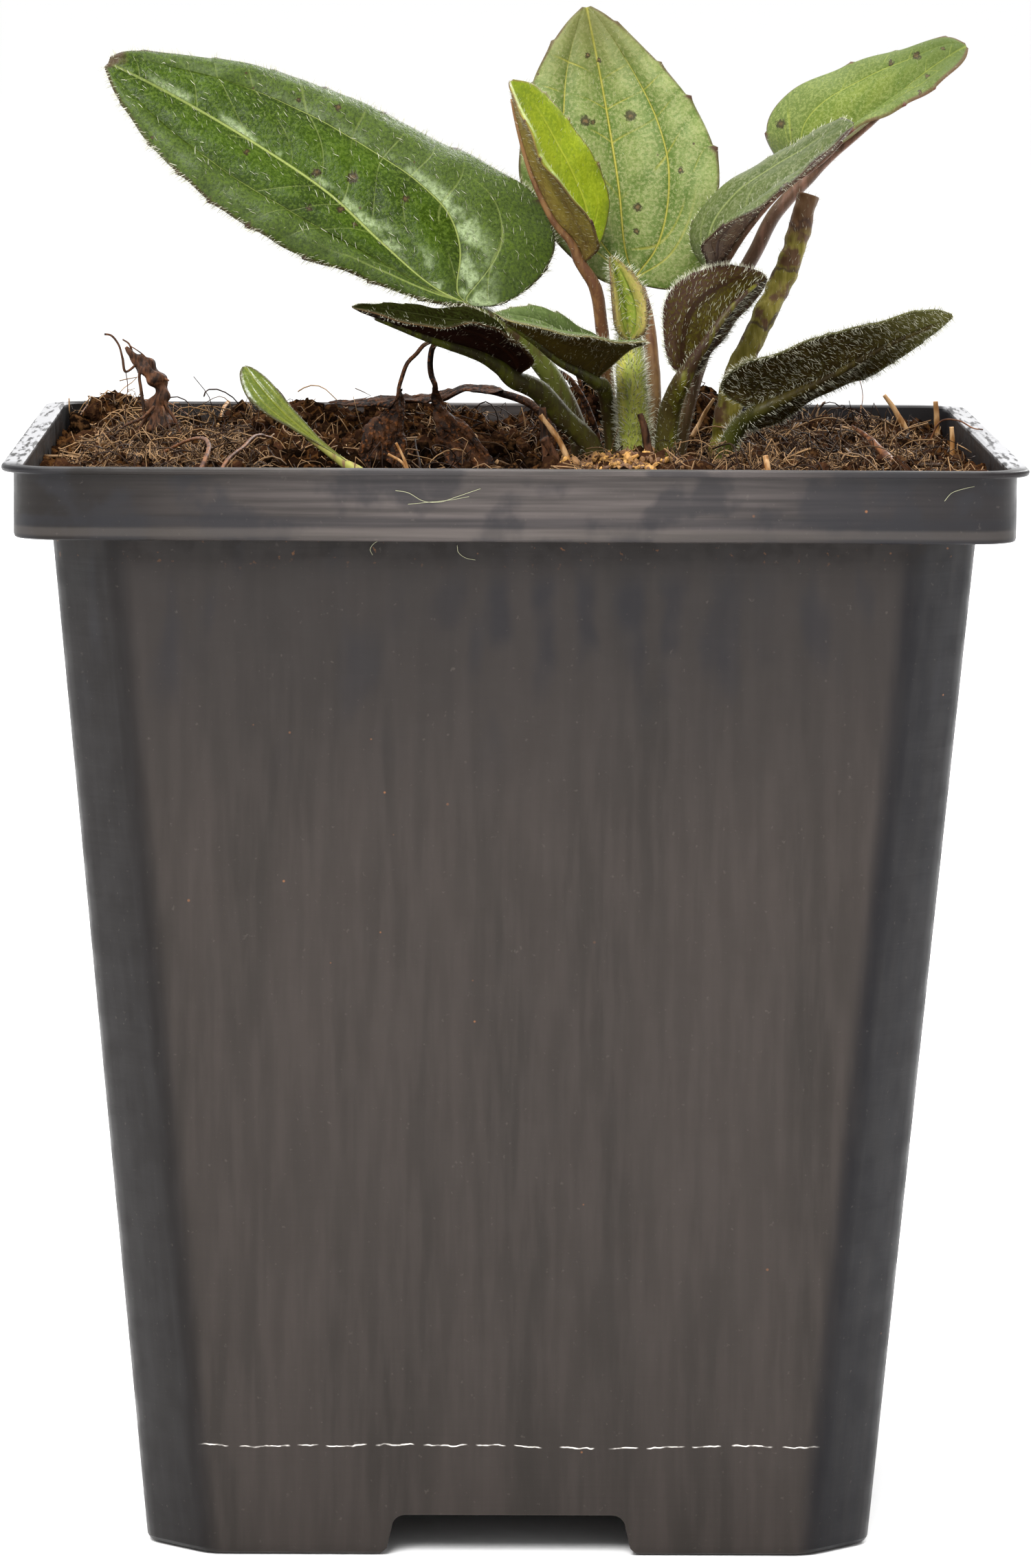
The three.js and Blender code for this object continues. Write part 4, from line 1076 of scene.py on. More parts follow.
def bristles(leaf, slot_name, density, shortest, longest, seed, lift=0.6, spread=0.35):
    """The leaf's white bristles, denser at its edge and on its stalk."""
    scattered(
        "bristles_" + leaf.name, leaf, slot_name, Shape=bristle, Material=bristle_finish, Seed=seed,
        Density=density, Smallest=shortest, Largest=longest, Lift=lift, Lean=1.0, Spread=spread, Follow=1.0,
    )


# The green finish carries a painted highlight along the rib
leaf_green = leaf_finish(
    "leaf_green", "2d4001", "1a2701", "7c8648", "33241c", outer="384420", grains="455616", shine=0.3,
    halo=0.35, painted_sheen=0.75, vein_width=0.75, specks=0.8, burnt_tip=0.04, pimples=0.07, level=0.12,
    spots=[(-18.1, 122.8, 0.35), (-14.7, 122.4, 0.45), (-15.8, 119.5, 0.25), (-14.5, 118.1, 0.2),
           (-16.1, 128.7, 0.25), (-19.8, 129.4, 0.2), (-24.5, 124.7, 0.22), (-9.8, 120.4, 0.25),
           (-18.7, 119.6, 0.22), (-33.1, 126, 0.15)],
)
leaf_green_under = leaf_finish(
    "leaf_green_under", "444a24", "333818", "5c5a34", "3a2c22", shine=0.6, specks=0,
)
stalk_green = stalk_finish("stalk_green", "4f5620", "3c2c1c")
leaf_left = make_leaf(
    "leaf_left", [leaf_green, leaf_green_under, stalk_green], stalk_radius=0.95,
    stalk=[(6.8, 2.8, 92.5), (6.4, 2.6, 98), (4.3, 2, 103), (0.6, 0.9, 107.6)],
    rib=[(-3.5, -1.9, 110.6), (-7.3, -2.2, 112.4), (-12.2, -1.6, 116.5), (-16.9, -0.9, 120.8),
         (-23.3, -0.4, 125.1), (-31.8, -0.1, 130), (-37.8, -0.4, 133)],
    left=[(-7.4, -2.9, 111), (-10.5, -3.3, 112.1), (-14.9, -3.6, 113.8), (-19.2, -4.1, 115.4),
          (-25, -4.1, 118.6), (-29.6, -3.7, 122), (-32.8, -3, 125.1), (-36.6, -1.5, 130.2)],
    right=[(-1.4, -1.3, 110.7), (1.8, 0.6, 112.4), (3.9, 2.7, 115.3), (3.9, 4.1, 117.7), (2.3, 5.2, 120.7),
           (-1.8, 5.4, 123.3), (-7.7, 5.2, 126.2), (-16.5, 4.7, 130.3), (-23.4, 3.7, 132.5),
           (-29.5, 2.4, 133.5), (-35.6, 0.7, 133.8)],
    rows=200, columns=70, relief=0.8, arch=0.05, tooth=0.34, vein_place=0.6, vein_spread=0.2, seed=1.0,
    upper_cover=0.3, under_cover=0.6, edge_cover=11.0,
)
bristles(leaf_left, "leaf_green", 2.6, 0.3, 0.75, 101)

# Low left leaf: folded along its rib and nearly level, dark green above and brown with bristles below.
# It grows from the crown on an olive stalk that bends over to the left.
leaf_dark = leaf_finish(
    "leaf_dark", "171707", "0e0e03", "262813", "363324", grains="20260b", shine=0.7, specks=0.2, level=0.0
)
leaf_dark_under = leaf_finish(
    "leaf_dark_under", "26110a", "180a05", "30180c", "57442b", shine=0.6, specks=0, level=0.1
)
stalk_olive = stalk_finish("stalk_olive", "4f5418", "33301a", streak_share=0.6, sides="301c14")
leaf_low_left = make_leaf(
    "leaf_low_left", [leaf_dark, leaf_dark_under, stalk_olive], stalk_radius=1,
    stalk=[(7.8, -0.8, 92.5), (7.5, -1, 97.4), (4.8, -2.5, 100.4), (2.2, -4.4, 103.2)],
    rib=[(0.8, -5.5, 104.6), (-2.1, -8, 106.6), (-7.3, -12, 108.4), (-11.6, -15.5, 110.1),
         (-14.8, -18, 111.4)],
    left=[(2, -6.7, 105.8), (1.1, -8.8, 107.1), (-1.5, -13.2, 109.3), (-4.2, -17, 109.8), (-7.3, -19, 109.8),
          (-10.4, -19.5, 110.3), (-13, -19, 110.9)],
    right=[(0.2, -3.4, 106.5), (-1.4, -3.6, 109.3), (-4.1, -4.5, 110.6), (-7.5, -6, 110.8), (-10, -9, 111.1),
           (-12.9, -14, 111.5)],
    seed=2.0, upper_cover=0.12, under_cover=0.4, edge_cover=5,
)
bristles(leaf_low_left, "leaf_dark", 3.0, 0.25, 0.55, 102)

# Small front leaf: a young soft blade in front of the low left leaf, hairy all over, olive above and brown
# below. Its stalk rises out of the crown behind it.
leaf_moss = leaf_finish(
    "leaf_moss", "4a5a28", "36441c", "5c6a3a", "54543c", grains="566438", shine=0.6, specks=0.2, level=0.12
)
leaf_moss_under = leaf_finish(
    "leaf_moss_under", "493f14", "31260d", "574923", "7d7650", shine=0.6, specks=0, level=0.1
)
leaf_front_small = make_leaf(
    "leaf_front_small", [leaf_moss, leaf_moss_under, stalk_olive], stalk_radius=0.7,
    stalk=[(9.5, 0.3, 92.5), (9.4, 0.2, 97.3), (9, -0.7, 101), (8.4, -2.5, 103.4)],
    rib=[(8, -4.2, 104.2), (6.4, -7, 105.2), (4.5, -10, 106.2), (2, -13.4, 108.2), (-1.9, -17.6, 110.9)],
    left=[(9.4, -4.9, 105.6), (11, -7, 107.2), (12, -9, 108), (10.4, -12, 107.9), (7.7, -15, 108.4),
          (5.1, -17.2, 109.1), (1.7, -18.8, 109.8), (-0.6, -18.6, 110.3)],
    right=[(8.5, -2.6, 105.8), (8, -1.8, 107.7), (5.9, -4.6, 109.1), (4.4, -6.8, 110.3), (1.6, -10.4, 111.1),
           (-0.4, -14.4, 111.1)],
    rows=90, columns=30, seed=3.0, upper_cover=0.5, under_cover=0.9, edge_cover=5,
)
bristles(leaf_front_small, "leaf_dark", 3.4, 0.25, 0.5, 103)

# Back leaf: upright, grey-green and finely grained, with yellow veins, brown spots and sharp dark teeth.
# It is held up by a thin brown stalk from the back of the crown.
leaf_grainy = leaf_finish(
    "leaf_grainy", "6b7741", "43581c", "958e38", "412d21", grains="84875a", shine=0.5, halo=0.8, twigs=0.45,
    specks=0.8, burnt_tip=0.04, pimples=0.06, tip="57562c", tip_start=0.6, vein_width=0.9, spot_heart=0.5,
    spots=[(7.1, 133.5, 0.2), (6.9, 127.4, 0.4), (11.1, 127.9, 0.42), (11.8, 119.4, 0.35), (8.2, 133, 0.2),
           (7.6, 127.3, 0.2), (15.8, 122.9, 0.25), (11.7, 117.2, 0.22)],
)
leaf_pale_under = leaf_finish("leaf_pale_under", "74784c", "545a30", "807a48", "543826", shine=0.65, specks=0)
stalk_brown = stalk_finish("stalk_brown", "7d5c39", "5a3b27", low_tint="444415")
leaf_back = make_leaf(
    "leaf_back", [leaf_grainy, leaf_pale_under, stalk_brown], stalk_radius=0.65,
    stalk=[(12.7, 4.5, 92.5), (12.8, 4.6, 97), (13.4, 5.5, 101.1), (13.2, 7, 105.5), (12.7, 8, 109.3)],
    rib=[(12, 8.5, 112.1), (10.8, 9, 115), (10, 9.5, 121.6), (8.5, 11, 130.4), (6.9, 12, 138.3)],
    left=[(9.4, 8, 112.2), (6.3, 7.8, 114.2), (3.4, 7.6, 117.2), (0.9, 7.7, 122), (0.9, 8.2, 125.6),
          (2.3, 9.5, 131.6), (4.9, 11, 136.2)],
    right=[(15, 8, 111.9), (17.6, 7.5, 113.6), (19.3, 7.5, 120.2), (19, 8, 124.4), (16.6, 9, 129.4),
           (12.2, 10.5, 134.3), (8.7, 11.5, 137.3)],
    rows=180, columns=64, relief=0.5, arch=0.05, tooth=0.45, tooth_gap=4.6, vein_spread=0.12, seed=4.0,
    upper_cover=0.5, under_cover=0.6,
)
bristles(leaf_back, "leaf_pale", 2.2, 0.12, 0.28, 104, lift=0.5)

# Folded leaf: narrow and folded along its rib, bright yellow-green inside, olive and brown outside and
# bristly at its edges. It stands on a thin brown stalk in front of the back leaf.
# The inside's bright yellow-green is partly the blade's own colour and partly painted light shining through
# the thin blade
leaf_bright = leaf_finish(
    "leaf_bright", "77830c", "5f710a", "8b9227", "5b4927", grains="85901b", shine=0.42, halo=0.3, specks=0.1
)
leaf_folded_under = leaf_finish(
    "leaf_folded_under", "7c6c2c", "584422", "6c582c", "3c281c", grains="86763a", shine=0.6, specks=0.3
)
leaf_folded = make_leaf(
    "leaf_folded", [leaf_bright, leaf_folded_under, stalk_brown], stalk_radius=0.6,
    stalk=[(9.5, 3.7, 92.5), (9.4, 3.5, 97), (9, 3, 103.2), (8.4, 2, 108.3), (7.7, 1, 112.3)],
    rib=[(6.8, 0.5, 114.6), (5.8, 0, 116.7), (4.1, -0.5, 118.6), (1.9, -1.5, 123), (0.4, -2.5, 128.1),
         (-0.3, -3.5, 131.6)],
    left=[(8.1, -3, 116.5), (5.9, -6, 120.1), (3.3, -8, 123.6), (1.7, -8.5, 126.4), (0.6, -7.5, 128.5),
          (-0.3, -5, 130.8)],
    right=[(8.4, 2, 116.9), (9.1, 3, 119.7), (8.6, 3, 121.9), (6.6, 2, 125.6), (4.4, 0.5, 128.7),
           (1.9, -1.5, 131)],
    rows=110, columns=34, tooth=0.4, seed=5.0, wave=0.22, upper_cover=0.3, under_cover=0.9, edge_cover=1.5,
)
bristles(leaf_folded, "leaf_bright", 3.0, 0.2, 0.45, 105)

# Right top leaf: light green, seen from its upper side, with a reddish edge. Its long russet stalk leans
# out of the crown to the right.
leaf_light = leaf_finish(
    "leaf_light", "5f6a26", "425414", "767e34", "4a2c20", outer="4d5a2a", grains="707940", shine=0.5,
    halo=0.6, twigs=0.55, specks=0.6, pimples=0.08, tip="3d4a1c", vein_width=0.8,
    spots=[(37.6, 133.7, 0.3), (35.3, 133, 0.2), (25.3, 127.1, 0.35), (38.4, 131.9, 0.15),
           (37.7, 130.4, 0.15), (39.9, 134.4, 0.12)],
)
leaf_light_under = leaf_finish(
    "leaf_light_under", "70704a", "5a5834", "74543e", "58362a", shine=0.6, specks=0,
)
stalk_russet = stalk_finish("stalk_russet", "66493a", "473222", low_tint="463d15", sides="3f2f1a")
leaf_right_top = make_leaf(
    "leaf_right_top", [leaf_light, leaf_light_under, stalk_russet], stalk_radius=0.68,
    stalk=[(15.6, 2.9, 92.5), (15.7, 3, 97), (17.6, 5.5, 105), (19.6, 7.5, 110), (22.5, 8.8, 114.7),
           (24.8, 9.6, 119)],
    rib=[(27.2, 9.7, 122.4), (29.5, 9.2, 124.5), (31.8, 8.2, 126.3), (35.5, 6.4, 129.6), (38.8, 4.8, 132.4),
         (42.2, 3, 134.8)],
    left=[(26.3, 13, 122), (24.2, 15, 125.8), (24.5, 15.5, 128), (26.3, 15, 130.2), (31.1, 13, 132.5),
          (36.3, 9.5, 134.2), (40.2, 5.5, 135.5)],
    right=[(28.7, 7.5, 124.3), (30.5, 5, 126), (33, 3.2, 127.6), (36.6, 2, 129.6), (38.8, 1.8, 130.7),
           (40.6, 2, 132.3), (41.8, 2.5, 133.7)],
    rows=120, columns=40, relief=0.3, seed=6.0, upper_cover=0.3, under_cover=0.4, edge_cover=0.6,
    stalk_cover=0.5,
)
bristles(leaf_right_top, "leaf_bright", 2.4, 0.12, 0.3, 106)

# Right leaf: grey-green and silvery above, purple-brown below, with bristles along its edge. Its thin
# russet stalk stands close in front of the right top leaf's.
leaf_silver = leaf_finish(
    "leaf_silver", "47502a", "34401a", "6c7444", "271914", grains="64684a", shine=0.36, halo=0.6, twigs=0.5,
    specks=0.4, pimples=0.06, vein_width=1.2, spots=[(22.2, 118.4, 0.3), (24.9, 122.2, 0.2)],
)
leaf_plum_under = leaf_finish(
    "leaf_plum_under", "55422e", "35241b", "2e1c17", "33231c", grains="665240", shine=0.6, specks=0
)
leaf_right = make_leaf(
    "leaf_right", [leaf_silver, leaf_plum_under, stalk_russet], stalk_radius=0.5,
    stalk=[(15.7, -0.4, 92.5), (15.6, -0.4, 97.4), (16.6, -0.5, 102.1), (17.7, 0, 107.2), (18.1, 0.2, 110.4)],
    rib=[(18.2, 0, 113.1), (19.5, -0.8, 115.1), (21.5, -2, 118.1), (24.6, -3, 121.6), (28.2, -4, 124.3),
         (31.4, -5, 127.7)],
    left=[(18, 1.6, 113.8), (16.7, 3.6, 116.1), (17.3, 4.5, 119.1), (20.1, 4.5, 122.1), (24.2, 3, 124.3),
          (28.3, 0, 127.2), (30.3, -3, 128.1)],
    right=[(17.7, -3.2, 115.2), (17.4, -5.8, 116.6), (20.1, -8, 118.9), (23.9, -8.5, 121.4),
           (27.2, -7.5, 123.9), (29.9, -6, 126.5)],
    rows=110, columns=36, relief=0.25, seed=7.0, upper_cover=0.2, under_cover=0.6, edge_cover=3.5,
)
bristles(leaf_right, "leaf_pale", 3.4, 0.25, 0.55, 107)

# Purple leaf: small and young, its underside to the front, purple-brown at the edge and olive in the
# middle. Its short thick stalk comes out of the front of the crown.
leaf_plum = leaf_finish(
    "leaf_plum", "2d2504", "1f1503", "1a0904", "301c1a", outer="33201a", grains="383406", shine=0.6, halo=0.5,
    specks=0, level=0.05, vein_width=2.2, twigs=0.6,
)
leaf_plum_top = leaf_finish("leaf_plum_top", "484c20", "363218", "5c5830", "4a3430", shine=0.6, specks=0)
stalk_plum = stalk_finish(
    "stalk_plum", "545212", "2e1c12", streak_share=0.7, low_tint="464612", sides="2c1a14",
)
leaf_purple = make_leaf(
    "leaf_purple", [leaf_plum_top, leaf_plum, stalk_plum], stalk_radius=1,
    stalk=[(14.1, -3.9, 92.5), (14.2, -3.9, 97.6), (14.6, -4.8, 101.4)],
    rib=[(15.7, -6, 104.1), (17.6, -7.2, 107.4), (19.5, -7.3, 110.2), (21.4, -6.4, 112.2),
         (23.5, -4.4, 113.6)],
    left=[(17.6, -5.4, 105.4), (18.9, -4.2, 107.5), (20.7, -3.7, 109.8), (22.9, -3.4, 112)],
    right=[(14.4, -5.4, 106.1), (13.9, -4.6, 110.7), (15.2, -4.2, 113), (18, -3.8, 114.2),
           (20.9, -3.4, 114.5), (22.7, -3.5, 114.1)],
    rows=90, columns=32, seed=8.0, relief=0.18, tooth=0.2, upper_cover=0.6, under_cover=0.75, edge_cover=9,
)
bristles(leaf_purple, "leaf_purple", 6.5, 0.3, 0.6, 108)

# Low right leaf: its dark underside is to the front, thickly set with long white hairs that point to the
# tip. It leans out to the right on a short stalk.
leaf_felt = leaf_finish(
    "leaf_felt", "382c0f", "241b08", "363012", "4a4a2c", grains="46401a", shine=0.6, specks=0, halo=0.4,
    level=0.1, tip="58582c", tip_start=0.55,
)
stalk_hairy = stalk_finish(
    "stalk_hairy", "3a3212", "241b08", streak_share=0.4, low=99, high=103.5, low_tint="3a3e12",
    low_amount=0.85,
)
leaf_low_right = make_leaf(
    "leaf_low_right", [leaf_dark, leaf_felt, stalk_hairy], stalk_radius=0.8,
    stalk=[(19.4, -3.2, 92.5), (19.7, -3.4, 97.2), (20.9, -4.7, 99.8)],
    rib=[(22, -6, 101.4), (24.9, -7, 102.9), (28.6, -9, 104.8), (34, -12.5, 108), (40, -16, 110.8)],
    left=[(21.9, -4.2, 99.6), (24.1, -3.6, 100.1), (27.7, -4.5, 102.4), (31.8, -7, 104.4),
          (36.5, -12, 107.5)],
    right=[(19.2, -6.8, 103.4), (20.1, -8.8, 105.3), (24.7, -11.5, 107.4), (29.5, -13.5, 109.1),
           (34, -15.5, 110.5), (38, -16.6, 111.3)],
    rows=110, columns=36, seed=9.0, upper_cover=0.6, under_cover=1.0, edge_cover=3,
)
bristles(leaf_low_right, "leaf_dark", 10.5, 0.3, 0.65, 109, lift=0.8)

# Young leaf: the newest one, pale and still rolled, in the middle of the crown. Its broad fleshy stalk is
# thick with long soft hairs.
leaf_young_top = leaf_finish(
    "leaf_young_top", "8c9438", "6f8428", "657a26", "45302a", outer="a6895a", grains="9a9a48", shine=0.5,
    specks=0,
)
leaf_young_under = leaf_finish(
    "leaf_young_under", "9c8a50", "74603c", "70503a", "4c3028", outer="7c5c48", grains="a8985c", shine=0.55,
    specks=0,
)
stalk_pale = stalk_finish(
    "stalk_pale", "a09c44", "7a8234", streak_share=0.5, low=95, high=100, low_tint="a9a744",
)
leaf_young = make_leaf(
    "leaf_young", [leaf_young_top, leaf_young_under, stalk_pale], stalk_radius=1.4,
    stalk=[(11.6, -2, 92.5), (11.5, -2, 97), (11.2, -2, 101), (11, -1.9, 104.7)],
    rib=[(10.9, -1.6, 107.3), (10.4, -1.2, 110.4), (9.6, -1.6, 113), (9, -2.6, 115.5)],
    left=[(9.6, -3, 108.6), (9.3, -3.6, 111.2), (9, -3.6, 113.7), (8.9, -3.2, 114.9)],
    right=[(12.4, -2.8, 108.6), (12.5, -3, 111.1), (11.4, -3.2, 113.4), (9.8, -3, 115)],
    rows=70, columns=20, seed=10.0, tooth=0.15, wave=0.05, upper_cover=0.5, under_cover=0.5, edge_cover=4,
    stalk_cover=3.6,
)
bristles(leaf_young, "leaf_pale", 6.0, 0.4, 0.85, 110, lift=0.9, spread=0.4)

# Seedling: one thin glossy spatula-shaped leaf with a purple edge, which came up by itself at the front
# left on a pale stalk of its own.
leaf_fresh = leaf_finish(
    "leaf_fresh", "4d5605", "3a4804", "5e6413", "2a190d", grains="565f09", shine=0.2, halo=0.2, specks=0,
    twigs=0, level=0.5,
)
leaf_fresh_under = leaf_finish(
    "leaf_fresh_under", "868f38", "6e7c28", "989c4c", "4a3024", shine=0.4, specks=0,
)
stalk_fresh = stalk_finish(
    "stalk_fresh", "8f8f48", "6f4a40", streak_share=0.35, low=95, high=97, low_tint="747238",
)
seedling = make_leaf(
    "seedling", [leaf_fresh, leaf_fresh_under, stalk_fresh], stalk_radius=0.5,
    stalk=[(-11.6, -29, 93), (-12.6, -29.4, 95.6), (-13.6, -29.8, 97.2)],
    rib=[(-14.6, -30, 98.1), (-18.8, -30.5, 101.1), (-21.3, -30.5, 103.4), (-22.8, -30, 105.1),
         (-24.1, -29.5, 106.8)],
    left=[(-17.5, -30.6, 99.95), (-20, -31, 101.3), (-22.2, -31.2, 102.6), (-23.7, -31, 104),
          (-24.4, -30, 106)],
    right=[(-17, -30.1, 100.1), (-18.6, -30, 101.8), (-20, -30, 103.3), (-22, -29.5, 105.6),
           (-23.2, -29.3, 106.5)],
    rows=80, columns=20, seed=11.0, tooth=0, relief=0.2, wave=0.04, upper_cover=0.03, under_cover=0.3,
)
bristles(seedling, "leaf_bright", 3.0, 0.12, 0.28, 111)

# Dead leaves: thin, brittle and crumpled as they dried. Two hang from arched dry stalks, and a third lies
# on the peat behind them, on a stalk of its own.
leaf_dry = Finish("leaf_dry")
folds = leaf_dry.grain(1.1, 4)
fine = leaf_dry.grain(0.3, 3)
leaf_dry.base(leaf_dry.ramp(folds, 0.38, 0.65), "170d08", "402716")
leaf_dry.coat(leaf_dry.ramp(fine, 0.52, 0.72, 0, 0.5), "7c4820")
relief = leaf_dry.plus(leaf_dry.times(folds, 0.3), leaf_dry.times(fine, 0.2))
dry_finish = leaf_dry.done(0.6, relief, Specular_IOR_Level=0.1)
make_leaf(
    "leaf_dead_long", [dry_finish] * 3, stalk_radius=0.2,
    stalk=[(7.3, 8.6, 93), (7, 8.5, 98), (6.1, 8, 104.1), (2.4, 6, 105.9), (-1.8, 3.4, 106.9),
           (-6.6, 0.4, 107.4), (-8, 0, 107), (-8.8, -0.2, 106.1), (-9.6, -0.4, 105.3), (-10.1, -0.7, 104)],
    rib=[(-10.4, -1, 103), (-10.8, -1.4, 101.4), (-11.5, -1.8, 99.6), (-12, -2.2, 97.4), (-12.2, -2.8, 95)],
    left=[(-9.9, -0.7, 101.8), (-9.9, -1.6, 99.8), (-9.8, -1.2, 98), (-10, -2, 95.6)],
    right=[(-11.2, -1.7, 101.6), (-12.5, -1, 100.1), (-13.7, -2.2, 98.4), (-14, -2, 95.8)],
    rows=110, columns=26, arch=0, crumple=0.42, seed=12.0,
)
make_leaf(
    "leaf_dead_short", [dry_finish] * 3, stalk_radius=0.27,
    stalk=[(8.6, 6.4, 93), (8.2, 6.2, 98), (5.6, 5.2, 103.4), (2.4, 4, 105), (-1.8, -0.4, 106.2),
           (-6.4, -3.6, 107.6), (-7.2, -3.8, 107.1), (-7.5, -3.9, 105.8), (-7.4, -3.9, 104.4)],
    rib=[(-7.2, -4, 103.6), (-6.9, -4.3, 102.3), (-6.3, -4.8, 100.8), (-5, -5.2, 98.6), (-3.4, -6, 95.4)],
    left=[(-6.6, -4.2, 102.6), (-5.9, -4.4, 101.3), (-4.4, -4.6, 100), (-2.7, -5.4, 98), (-1.6, -6, 96)],
    right=[(-7.4, -4.4, 102.6), (-7.1, -4.2, 101.2), (-6.9, -5, 99.6), (-6.4, -4.8, 98), (-5.2, -5.8, 95.8)],
    rows=110, columns=26, arch=0, crumple=0.38, seed=13.0,
)
make_leaf(
    "leaf_dead_back", [dry_finish] * 3, stalk_radius=0.4,
    stalk=[(4.3, 14, 93), (4.2, 14, 96), (4, 14.2, 98.4), (2.2, 15.7, 100.4)],
    rib=[(-0.4, 18, 101.4), (-2.7, 20, 101.7), (-4.4, 21.4, 101.5), (-6.6, 23, 100.6), (-9, 25.5, 100.2),
         (-13, 28, 99.8), (-17.5, 30.5, 99.5)],
    left=[(-1.6, 17.6, 101.2), (-4.4, 19.6, 101.2), (-7.6, 22.4, 100.2), (-11.5, 25.3, 99.7),
          (-15.8, 28.4, 99.3)],
    right=[(-1.4, 20, 101.8), (-5, 23.6, 101.2), (-10, 27, 100.3), (-14.5, 30, 99.8)],
    rows=130, columns=24, arch=0, crumple=0.3, seed=14.0,
)

# Cut stem: last year's flower stem, firm and olive green, with brown scars where leaves fell off. It grew
# from the crown and was cut across at the top.
stem_skin = Finish("stem_olive")
streaks = stem_skin.grain(0.45, 3, stem_skin.stretched(1, 1, 0.12))
patches = stem_skin.grain(2.0, 3)
height = stem_skin.axis("Z")
stem_skin.base(stem_skin.ramp(streaks, 0.35, 0.7), "625a14", "7e7434")
brown = stem_skin.plus(stem_skin.ramp(patches, 0.52, 0.64), stem_skin.ramp(height, 116, 118.5, 0, 1))
stem_skin.coat(stem_skin.number("MINIMUM", brown, 0.9), "4c3020")
for scar_height in (108.9, 114.1, 118.1):
    uneven = stem_skin.plus(height, stem_skin.ramp(patches, 0.3, 0.7, -0.8, 0.8))
    off_scar = stem_skin.off(uneven, scar_height)
    stem_skin.coat(stem_skin.ramp(off_scar, 0.1, 0.5, 0.8, 0), "35231a")
stem_finish = stem_skin.done(0.6, stem_skin.times(streaks, 0.18), Specular_IOR_Level=0.2)


def make_stalk(name, finish, route, radii, sides, steps, ridges, lumpy, seed, cover=0.5):
    made = mesh_object(name, *tube(route, radii, sides, steps, ridges, lumpy, seed), [finish])
    places = np.empty(len(made.data.vertices) * 3, np.float32)
    made.data.vertices.foreach_get("co", places)
    set_numbers(made, "cover", (places[2::3] > (soil_height + bare_foot) * MM) * cover)
    set_vectors(made, "grow", [(0, 0, 0.6)] * len(made.data.vertices))
    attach(made, "root")
    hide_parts(name)
    return made


stem_cut = make_stalk(
    "stem_cut", stem_finish,
    [(19.6, 1.9, 92.5), (19.9, 2, 98.2), (20.4, 2.1, 102), (21.2, 2.3, 104.4), (21.9, 2.5, 106.4),
     (23, 2.9, 108.6), (24.2, 3.5, 111), (25.4, 4, 113.6), (26.3, 4.5, 115.8), (26.8, 4.7, 117.9),
     (27.1, 4.8, 119), (27.6, 5, 120.8)],
    [1.35, 1.3, 1.22, 1.18, 1.14, 1.14, 1.06, 1.12, 1.05, 1.1, 0.98, 1.05], 20, 150, 0.03, 0.2, 3.0,
)
bristles(stem_cut, "stem_olive", 3.0, 0.2, 0.5, 121)

# Brown stub: the foot of an old stem in front of the leafstalks, dry and woody, streaked along its length
# and broken off low.
dry_stalk = Finish("stem_brown")
streaks = dry_stalk.grain(0.4, 3, dry_stalk.stretched(1, 1, 0.15))
dry_stalk.base(dry_stalk.ramp(streaks, 0.35, 0.65), "1c110b", "4a2f1e")
dry_stalk.coat(dry_stalk.patches(1.2, 3, 0.5, 0.68, 0, 0.6), "6a452c")
relief = dry_stalk.times(streaks, 0.3)
brown_finish = dry_stalk.done(0.7, relief, Specular_IOR_Level=0.15)
make_stalk(
    "stub_brown", brown_finish,
    [(3.4, -6.1, 92.5), (3.2, -6, 97), (3, -6, 99.3), (2.8, -6, 101.6)], [0.45, 0.45, 0.4, 0.35],
    10, 50, 0.08, 0.4, 5.0,
)

# Withered stalk: an old stalk that stands in the peat at the left. It shrivelled and split as it dried,
# and its bare threads are left at its top and round its foot.
make_stalk(
    "stalk_withered", brown_finish,
    [(-33, 12, 93), (-33, 12, 98), (-33.1, 12, 100.4), (-32.8, 12, 102.1), (-33.4, 12, 103.2),
     (-34.3, 12, 104.3), (-35.3, 12, 104.9), (-36.1, 12, 105.9)],
    [1.3, 1.4, 0.85, 0.62, 0.74, 0.8, 0.4, 0.1], 18, 130, 0.12, 1.1, 7.0,
)


def threads(name, finish, strands, sides=6):
    """Thin strands as one piece. A strand is its first and last radius and the points it passes."""
    points, faces = [], []
    for number, (first, last, route) in enumerate(strands):
        radii = np.linspace(first, last, len(route))
        more, skins = tube(route, radii, sides, 10 * len(route), 0, 0.3, number)
        faces += [[i + len(points) for i in face] for face in skins]
        points += more
    made = mesh_object(name, points, faces, [finish])
    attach(made, "root")
    return made


